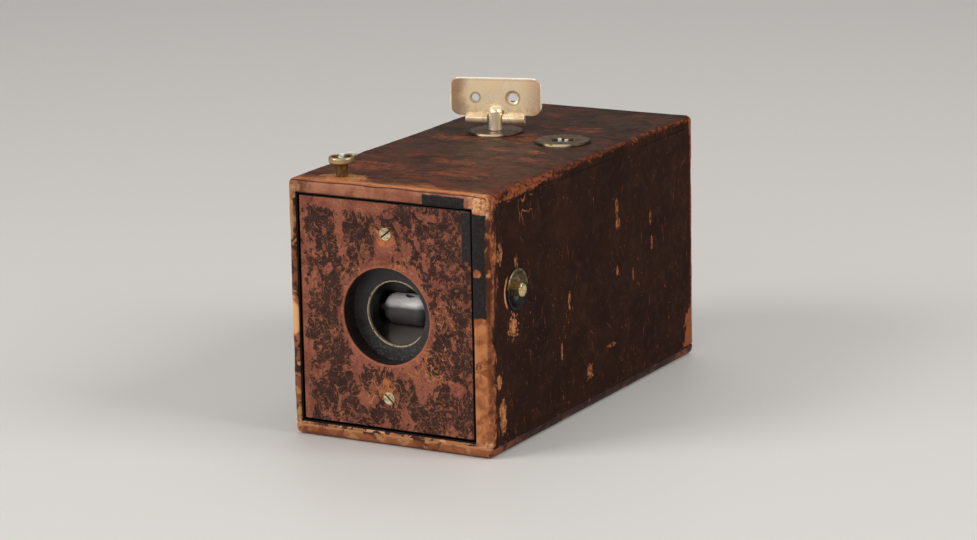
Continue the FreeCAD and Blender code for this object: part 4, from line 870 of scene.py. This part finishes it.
def cup_metal():
    """Dull khaki brass at the top of the release cup, with painted shade: black lower down."""
    f = Finish("cup_brass")
    mid = f.noise(2.6, 4, 0.6, 0.5, seed=1)
    fine = f.noise(0.4, 3, 0.6, seed=2)
    color = f.tones(f.step(mid, 0.40, 0.60), (120, 104, 70), (84, 72, 46))
    # painted shade: the cup is coloured near-black below its middle
    ragged = f.ragged(f.z, mid, 4.0)
    color = f.lay(color, (16, 13, 10), f.step(ragged, BUTTON.z + 1.6, BUTTON.z + 0.4))
    rough = f.gloss(mid, 0.36, 0.55)
    f.bump(fine, 0.02, 0.5)
    return f.done(color, rough, 0.5)


def panel_screw_metal():
    """Pale worn heads, with painted shade: black down in their slots."""
    f = Finish("panel_screw_metal")
    f.round_edges = 0.25
    mid = f.noise(1.6, 4, 0.6, 0.4, seed=1)
    fine = f.noise(0.3, 3, 0.6, seed=2)
    color = f.tones(f.step(mid, 0.35, 0.65), (220, 203, 166), (160, 140, 106))
    color = f.lay(color, (110, 88, 62), f.step(fine, 0.56, 0.7), 0.4)
    # painted shade: near-black below the head's face, down in the slots
    color = f.lay(color, (14, 10, 8), f.step(f.d, SCREW_FACE + 0.28, SCREW_FACE + 0.42))
    rough = f.gloss(mid, 0.24, 0.42)
    f.bump(fine, 0.02, 0.5)
    return f.done(color, rough, 0.8)


def lens_glass():
    f = Finish("lens_glass")
    haze = f.noise(1.2, 3, 0.6, seed=1)
    color = f.tones(f.step(haze, 0.4, 0.7), (228, 234, 236), (210, 220, 222))
    rough = f.mix(f.step(haze, 0.4, 0.7), grey(0.02), grey(0.06))
    return f.done(color, rough, Transmission_Weight=0.9, IOR=1.52)


M = {
    "cover_leather": cover_leather(), "bottom_leather": bottom_leather(),
    "panel_front": panel_leather("panel_leather_front", True),
    "panel_rear": panel_leather("panel_leather_rear", False),
    "case_wood": wood("case_wood", srgb(168, 130, 88), srgb(128, 92, 58), (1, 10, 1)),
    "front_wood": wood("stained_front_wood", srgb(44, 29, 24), srgb(26, 18, 16), (10, 1, 1), 0.55),
    "black_wood": black_wood(),
    "carrier_wood": wood("carrier_wood", srgb(150, 104, 66), srgb(112, 72, 42), (8, 2, 1), 0.38),
    "roller_wood": wood("roller_wood", srgb(190, 152, 106), srgb(158, 118, 76), (1, 1, 9), 0.42),
    "film_base": film_base(), "panel_screws": panel_screw_metal(),
    "inner_screws": metal(
        "inner_screw_brass", srgb(220, 186, 118), srgb(186, 148, 84), srgb(110, 80, 44), 0.28),
    "mechanism_brass": metal(
        "mechanism_brass", srgb(214, 178, 108), srgb(180, 142, 80), srgb(116, 86, 50), 0.32, 4.0,
        (0.58, 0.70)),
    "blackened_plate": metal(
        "blackened_plate", srgb(44, 40, 36), srgb(28, 25, 23), srgb(66, 56, 42), 0.45, 4.0, (0.58, 0.70)),
    "barrel_black": barrel_paint(), "lens_glass": lens_glass(),
    "steel": metal(
        "plain_steel", srgb(176, 174, 170), srgb(140, 138, 134), srgb(84, 70, 58), 0.30, 3.0, (0.6, 0.7)),
    "post_brass": post_metal(), "key_nickel": key_plate_metal(),
    "key_stem_brass": metal(
        "key_stem_brass", srgb(255, 246, 222), srgb(246, 224, 186), srgb(150, 122, 90), 0.32, 2.4,
        (0.70, 0.80), (22, 22, 1), 0.75),
    "patina": patina_metal(), "cup_brass": cup_metal(),
    "button_brass": metal(
        "button_brass", srgb(226, 204, 152), srgb(196, 168, 112), srgb(120, 96, 60), 0.24, 1.6, (0.6, 0.72)),
    "cord": cord_fibre(),
}

# every CAD node starts with its slot's finish; the ones below are replaced
for entry in frame["record"]["subparts"]:
    slot = entry["material_slot"]
    obj = nodes[entry["node"]]
    finish = M.get(slot)
    if entry["node"] in ("front_leather", "rear_leather"):
        finish = M["panel_" + entry["node"].split("_")[0]]
    if entry["node"] in ("left_bearing_plate", "right_bearing_plate"):
        finish = M["blackened_plate"]
    if obj.material_slots:
        for place in obj.material_slots:
            place.material = finish
    else:
        obj.data.materials.append(finish)


# --- leather over the case --------------------------------------------------------------------
EDGE = 2.4
SEAM_Z = 4.0


def rounded_ring(x0, x1, z0, z1, r, depth):
    """Rounded rectangle at one depth, always with the same number of points."""
    rows = [2.4, 2.9, 3.4, 3.75, 4.0, 4.25, 4.6, 5.3] + [6.5 + 2.15 * k for k in range(40)] + [92.0]
    tz = [(v - 2.4) / (HEIGHT - 4.8) for v in rows]
    tx = [k / 38 for k in range(39)]
    points = []

    def corner(cx, cz, start):
        for k in range(1, 6):
            a = math.radians(start + 90 * k / 6)
            points.append((cx + r * math.cos(a), depth, cz + r * math.sin(a)))

    points += [(x0 + r + t * (x1 - x0 - 2 * r), depth, z0) for t in tx]
    corner(x1 - r, z0 + r, -90)
    points += [(x1, depth, z0 + r + t * (z1 - z0 - 2 * r)) for t in tz]
    corner(x1 - r, z1 - r, 0)
    points += [(x1 - r - t * (x1 - x0 - 2 * r), depth, z1) for t in tx]
    corner(x0 + r, z1 - r, 90)
    points += [(x0, depth, z0 + r + t * (z1 - z0 - 2 * r)) for t in reversed(tz)]
    corner(x0 + r, z0 + r, 180)
    return points


def outer_ring(inset, depth):
    w = WIDTH / 2
    return rounded_ring(-w + inset, w - inset, inset, HEIGHT - inset, max(EDGE - inset, 0.3), depth)


def inner_ring(grow, depth):
    x0, x1, z0, z1 = INNER
    return rounded_ring(x0 - grow, x1 + grow, z0 - grow, z1 + grow, 0.5 + grow, depth)


def case_skin():
    """Closed thin skin over the whole case: lips, front bead, sides, rear bead."""
    lip, steps = 1.3, 5
    half = [(inner_ring, 0.0, 2.4), (inner_ring, 0.0, lip)]
    for k in range(1, steps + 1):
        a = math.pi / 2 * k / steps
        half.append((inner_ring, lip * (1 - math.cos(a)), lip * (1 - math.sin(a))))
    for k in range(1, steps + 2):
        a = math.pi / 2 * k / (steps + 1)
        half.append((outer_ring, EDGE * (1 - math.sin(a)), EDGE * (1 - math.cos(a))))
    count = 84
    depths = [EDGE + (LENGTH - 2 * EDGE) * k / count for k in range(count + 1)]
    rings = [make(amount, depth) for make, amount, depth in half]
    rings += [outer_ring(0.0, depth) for depth in depths[1:-1]]
    rings += [make(amount, LENGTH - depth) for make, amount, depth in reversed(half)]
    outer_count = len(rings)
    # back along the hidden underside of the leather
    under = 0.75
    ends = [(inner_ring, 0.25, 2.4), (inner_ring, 0.6, 1.6), (outer_ring, under + 1.0, 1.0)]
    rings += [make(amount, LENGTH - depth) for make, amount, depth in ends]
    rings += [outer_ring(under, depth) for depth in depths[::-12]]
    rings += [make(amount, depth) for make, amount, depth in reversed(ends)]
    return rings, outer_count


def worn(p):
    """Small unevenness of the covered edges and faces, pushed inwards only at the seam."""
    x, d, z = p
    v = Vector(p)
    w = WIDTH / 2
    n = Vector((0.0, 0.0, 0.0))
    if abs(x) > w - EDGE:
        n.x = math.copysign((abs(x) - (w - EDGE)) / EDGE, x)
    if d < EDGE or d > LENGTH - EDGE:
        n.y = (d - EDGE) / EDGE if d < EDGE else (d - (LENGTH - EDGE)) / EDGE
    if z < EDGE or z > HEIGHT - EDGE:
        n.z = (z - EDGE) / EDGE if z < EDGE else (z - (HEIGHT - EDGE)) / EDGE
    if n.length < 0.2:
        return p
    edges = sum(1 for c in n if abs(c) > 0.25)
    n.normalize()
    push = wobble(p, 26, 0.10, 1.0) + wobble(p, 6, 0.05, 2.0) - 0.06
    if edges > 1:
        push += wobble(p, 9, 0.22, 3.0) + wobble(p, 2.6, 0.10, 4.0) - 0.08
    if abs(n.x) > 0.7 or abs(n.y) > 0.7:
        groove = max(0.0, 1 - abs(z - SEAM_Z) / 0.55)
        push -= 0.34 * groove
        if z < SEAM_Z:
            push -= 0.05
    if z < 1.0:
        push = min(push, 0.0) * 0.4
    return tuple(v + n * push)


def build_cover():
    rings, outer_count = case_skin()
    shaped = [[worn(p) for p in ring] if i < outer_count else ring for i, ring in enumerate(rings)]
    points, faces = loft(shaped, loop=True)
    made = []
    for name, low, high, replaced, slot in (
            ("cover_leather_skin", -20.0, SEAM_Z, "leather_upper_cover", "cover_leather"),
            ("bottom_leather_skin", SEAM_Z, 120.0, "leather_bottom_cover", "bottom_leather")):
        obj = piece(name, points, faces, "case", M[slot], [replaced], 50)
        fix_normals(obj, triangles=True)
        carve(obj, *slab(low, high))
        obj.data.set_sharp_from_angle(angle=math.radians(50))
        made.append(obj)
    drill(made[0], BUTTON, CUP_HOLE, "x")
    drill(made[0], DIAL, DIAL_HOLE, "z")
    return made


def slab(low, high):
    """Wide block between two heights."""
    points = [(x, d, z) for z in (low, high) for d in (-20.0, 190.0) for x in (-60.0, 60.0)]
    return points, [(0, 2, 3, 1), (4, 5, 7, 6), (0, 1, 5, 4), (2, 6, 7, 3), (0, 4, 6, 2), (1, 3, 7, 5)]


def drill(obj, centre, radius, axis):
    """Cuts a round hole through a piece."""
    profile = [(0, -9), (radius, -9), (radius, 9), (0, 9)]
    carve(obj, *lathe(profile, centre, axis, 96))


def carve(obj, points, faces):
    """Cuts a closed shape, given in mm, away from a piece."""
    mesh = bpy.data.meshes.new("drill")
    mesh.from_pydata([metres(*p) for p in points], [], faces)
    cutter = added("drill", mesh)
    mod = obj.modifiers.new("drill", "BOOLEAN")
    mod.operation = "DIFFERENCE"
    mod.solver = "EXACT"
    mod.object = cutter
    bpy.context.view_layer.update()
    depsgraph = bpy.context.evaluated_depsgraph_get()
    result = bpy.data.meshes.new_from_object(obj.evaluated_get(depsgraph))
    obj.modifiers.remove(mod)
    old = obj.data
    obj.data = result
    bpy.data.meshes.remove(old)
    bpy.data.objects.remove(cutter)
    bpy.data.meshes.remove(mesh)


def build_panel(name, node, body, material, face_depth, back_depth, hole):
    """Leather of a panel, turned over its edges, with the round opening's edge rolled in."""
    (x0, _, z0), (x1, _, z1) = box_mm(node)
    count = 192
    cx, cz = OPENING.x, OPENING.z

    def square(t, inset):
        """Point at fraction t round the panel's outline, in the direction t from the centre."""
        a = 2 * math.pi * t
        ux, uz = math.cos(a), math.sin(a)
        sx = ((x1 - inset) - cx) / ux if ux > 1e-9 else ((x0 + inset) - cx) / ux if ux < -1e-9 else 1e9
        sz = ((z1 - inset) - cz) / uz if uz > 1e-9 else ((z0 + inset) - cz) / uz if uz < -1e-9 else 1e9
        s = min(sx, sz)
        return cx + ux * s, cz + uz * s

    ts = [k / count for k in range(count)]
    for x, z in ((x1, z1), (x0, z1), (x0, z0), (x1, z0)):
        c = math.atan2(z - cz, x - cx) / (2 * math.pi) % 1.0
        ts[min(range(count), key=lambda i: abs(ts[i] - c))] = c
    way = 1 if back_depth > face_depth else -1
    roll = 0.45
    rings = []

    def ring(radius, depth):
        return [(cx + radius * math.cos(2 * math.pi * t), depth, cz + radius * math.sin(2 * math.pi * t))
            for t in ts]

    def border(inset, depth):
        return [(square(t, inset)[0], depth, square(t, inset)[1]) for t in ts]

    def wavy(p):
        return p[0], p[1] + way * (0.05 - wobble(p, 15, 0.10, 7) - wobble(p, 4, 0.035, 8)), p[2]

    rings.append(ring(hole or 0.0, back_depth))
    if hole:
        for k in range(4):
            a = math.pi / 2 * k / 3
            rings.append(ring(hole + roll * (1 - math.cos(a)), face_depth + way * roll * (1 - math.sin(a))))
    else:
        rings.append(ring(0.0, face_depth))
    start = rings[-1]
    last = border(roll, face_depth)
    steps = 26
    for k in range(1, steps + 1):
        t = k / steps
        rings.append([tuple(Vector(a).lerp(Vector(b), t)) for a, b in zip(start, last)])
    first_face, last_face = (4 if hole else 1), len(rings) - 1
    for k in range(1, 4):
        a = math.pi / 2 * k / 3
        rings.append(border(roll * (1 - math.sin(a)), face_depth + way * roll * (1 - math.cos(a))))
    rings.append(border(0.0, back_depth))
    shaped = [[wavy(p) for p in r] if first_face <= i <= last_face else r for i, r in enumerate(rings)]
    points, faces = loft(shaped, loop=True)
    if way < 0:
        faces = [tuple(reversed(f)) for f in faces]
    return piece(name, points, faces, body, material, [node], 50)


def fix_normals(obj, triangles=False):
    """Merges doubled points, drops loose and flat bits and turns the faces outwards."""
    bm = bmesh.new()
    bm.from_mesh(obj.data)
    bmesh.ops.remove_doubles(bm, verts=bm.verts[:], dist=2e-6)
    bmesh.ops.dissolve_degenerate(bm, edges=bm.edges[:], dist=2e-6)
    loose = [e for e in bm.edges if not e.link_faces]
    bmesh.ops.delete(bm, geom=loose, context="EDGES")
    if triangles:
        bmesh.ops.triangulate(bm, faces=bm.faces[:])
    bmesh.ops.recalc_face_normals(bm, faces=bm.faces[:])
    bm.to_mesh(obj.data)
    bm.free()


for skin in build_cover():
    fix_normals(skin)
front_low, front_high = box_mm("front_leather")
rear_low, rear_high = box_mm("rear_leather")
for name, node, body, face, back, hole in (
        ("front", "front_leather", "case", front_low[1], front_high[1], PANEL_HOLE),
        ("rear", "rear_leather", "carrier", rear_high[1], rear_low[1], None)):
    fix_normals(build_panel(name + "_panel_leather", node, body, M["panel_" + name], face, back, hole))


# --- turned metal and cord --------------------------------------------------------------------
def build_cord_end():
    """Knot and the short twisted tail of the setting cord, lying over the post's rim."""
    knot = Vector((POST.x, POST.y, KNOT_Z))
    groups = []
    tail = [knot + Vector(v) for v in (
        (0, 0, 0.3), (1.2, 0.7, 0.95), (2.6, 1.5, 1.25), (3.9, 2.2, 1.1), (4.8, 2.8, 0.75))]
    fine = [a.lerp(b, k / 10) for a, b in zip(tail, tail[1:]) for k in range(10)]
    fine.append(tail[-1])
    for strand in range(3):
        path = []
        for i, p in enumerate(fine):
            ahead = (fine[min(i + 1, len(fine) - 1)] - fine[max(i - 1, 0)]).normalized()
            side = ahead.orthogonal().normalized()
            other = ahead.cross(side)
            a = 2 * math.pi * (strand / 3 + i / 13)
            spread = 0.25 + 0.16 * max(0.0, (i - 34) / 6)
            path.append(p + side * (spread * math.cos(a)) + other * (spread * math.sin(a)))
        groups.append(tube(path, lambda t: 0.27 - 0.08 * max(0.0, t - 0.85) / 0.15, 10))
    for turn in range(3):
        path = []
        tilt = turn * 1.1
        for k in range(33):
            a = 2 * math.pi * k / 32
            v = Vector((0.72 * math.cos(a), 0.72 * math.sin(a), 0.32 * math.sin(a + tilt)))
            v.rotate(Matrix.Rotation(tilt, 3, "X"))
            path.append(knot + v)
        groups.append(tube(path, 0.40, 10))
    points, faces = merged(*groups)
    obj = piece("cord_end_twisted", points, faces, "cord", M["cord"], ["cord_end"], 60)
    fix_normals(obj)


def build_setting_cord():
    """Twisted cord from the pulley up to the knot."""
    low, high = box_mm("setting_cord")
    middle = centre_mm("setting_cord")
    steps = 96
    groups = []
    for strand in range(3):
        path = []
        for i in range(steps + 1):
            t = i / steps
            a = 2 * math.pi * (strand / 3 + i / 10)
            path.append(Vector((
                middle.x + 0.24 * math.cos(a), middle.y + 0.24 * math.sin(a),
                low[2] + t * (high[2] - low[2]))))
        groups.append(tube(path, 0.29, 8))
    points, faces = merged(*groups)
    obj = piece("setting_cord_twisted", points, faces, None, M["cord"], ["setting_cord"], 60)
    fix_normals(obj)
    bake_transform(obj)


def build_return_spring():
    """Coil spring behind the release button."""
    low, high = box_mm("release_spring")
    middle = centre_mm("release_spring")
    wire, turns, travel = 0.22, 6, 1.5
    coil = (high[2] - low[2]) / 2 - wire
    length = high[0] - low[0]
    path = []
    for i in range(turns * 24 + 1):
        a = 2 * math.pi * i / 24
        along = low[0] + wire + (length - 2 * wire) * i / (turns * 24)
        path.append(Vector((along, middle.y + coil * math.sin(a), middle.z + coil * math.cos(a))))
    points, faces = tube(path, wire, 10)
    obj = piece("return_spring_coil", points, faces, "case", M["steel"], ["release_spring"], 60)
    fix_normals(obj)
    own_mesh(obj)


def build_post():
    """Turned post with a dished head."""
    bore = 0.75
    profile = [
        (bore, -5.3), (1.95, -5.3), (2.0, -5.2), (2.0, 0.0), (2.12, 0.05), (2.14, 1.2), (2.16, 2.4),
        (2.24, 3.2), (2.4, 3.9), (2.62, 4.4), (2.85, 4.7), (3.4, 4.83), (4.2, 4.87), (4.48, 4.98),
        (4.62, 5.2), (4.67, 5.5), (4.67, 6.55), (4.60, 6.9), (4.42, 7.16), (4.18, 7.28), (3.95, 7.27),
        (3.72, 7.15), (3.3, 6.75), (2.7, 6.42), (2.0, 6.26), (1.2, 6.2), (0.95, 6.17), (bore, 6.0)]
    centre = Vector((POST.x, POST.y, HEIGHT))
    points, faces = lathe(profile, centre, "z", 96)
    shaped = [(x + wobble((x, d, z), 4, 0.03, 5), d, z + wobble((x, d, z), 5, 0.04, 6)) for x, d, z in points]
    fix_normals(
        piece("cord_post_turned", shaped, faces, "case", M["post_brass"], ["cord_post"], 40))


build_setting_cord()
build_return_spring()
build_cord_end()
build_post()


# --- floor, lights and camera -----------------------------------------------------------------
def studio():
    """Pale floor that curves up into a backdrop."""
    width, near, far, high, bend = 5.0, -4.5, 3.8, 4.0, 1.6
    profile = [(near, 0.0), (far - bend, 0.0)]
    for k in range(1, 17):
        a = math.pi / 2 * k / 16
        profile.append((far - bend + bend * math.sin(a), bend * (1 - math.cos(a))))
    profile.append((far, high))
    turn = Matrix.Rotation(math.radians(29.15), 3, "Z")
    points = [tuple(turn @ Vector((x, y, z - 0.0002))) for y, z in profile for x in (-width, width)]
    faces = [(2 * k, 2 * k + 1, 2 * k + 3, 2 * k + 2) for k in range(len(profile) - 1)]
    mesh = bpy.data.meshes.new("studio_floor")
    mesh.from_pydata(points, [], faces)
    mesh.polygons.foreach_set("use_smooth", [True] * len(mesh.polygons))
    obj = added("studio_floor", mesh)
    mat = bpy.data.materials.new("studio_paper")
    mat.use_nodes = True
    bsdf = mat.node_tree.nodes["Principled BSDF"]
    bsdf.inputs["Base Color"].default_value = srgb(210, 207, 203)
    bsdf.inputs["Roughness"].default_value = 0.42
    bsdf.inputs["Specular IOR Level"].default_value = 0.35
    mesh.materials.append(mat)


def area_light(name, place, target, size, power, tint=(1, 1, 1)):
    light = bpy.data.lights.new(name, "AREA")
    light.shape = "RECTANGLE"
    light.size, light.size_y = size
    light.energy = power
    light.color = tint
    obj = added(name, light)
    obj.location = place
    obj.rotation_euler = (Vector(target) - Vector(place)).to_track_quat("-Z", "Y").to_euler()


def camera():
    azimuth, elevation, roll = math.radians(29.148), math.radians(13.385), math.radians(-1.075)
    back = Vector((
        math.sin(azimuth) * math.cos(elevation), -math.cos(azimuth) * math.cos(elevation),
        math.sin(elevation)))
    right = Vector((math.cos(azimuth), math.sin(azimuth), 0))
    up = back.cross(right)
    r = right * math.cos(roll) + up * math.sin(roll)
    u = up * math.cos(roll) - right * math.sin(roll)
    data = bpy.data.cameras.new("photo_camera")
    data.lens = 127.5
    data.sensor_width = 36.0
    data.clip_start = 0.05
    obj = added("photo_camera", data)
    place = Vector((-0.003423, -0.00255, 0.047389)) + back * 1.3012
    obj.matrix_world = Matrix((
        (r.x, u.x, back.x, place.x), (r.y, u.y, back.y, place.y), (r.z, u.z, back.z, place.z), (0, 0, 0, 1)))
    bpy.context.scene.camera = obj


def world():
    w = bpy.context.scene.world or bpy.data.worlds.new("studio")
    bpy.context.scene.world = w
    w.use_nodes = True
    background = w.node_tree.nodes["Background"]
    background.inputs[0].default_value = (0.95, 0.97, 1.0, 1)
    background.inputs[1].default_value = 0.185


studio()
area_light("left_softbox", (-0.85, -1.05, 0.95), (0, 0, 0.03), (0.75, 0.75), 15, (1.0, 0.985, 0.96))
area_light("right_softbox", (1.25, 0.10, 0.95), (0, 0, 0.03), (0.75, 0.75), 13.5, (1.0, 0.985, 0.96))
area_light("front_card", (0.25, -1.9, 0.85), (0, 0, 0.10), (1.6, 0.9), 9)
area_light("top_light", (0.0, 0.2, 1.7), (0, 0, 0.05), (1.4, 1.4), 5)
area_light("backdrop_light", (-0.60, 1.20, 1.7), (-0.60, 1.20, 0.0), (2.0, 0.9), 9)
camera()
world()
bpy.context.scene.view_settings.view_transform = "Standard"
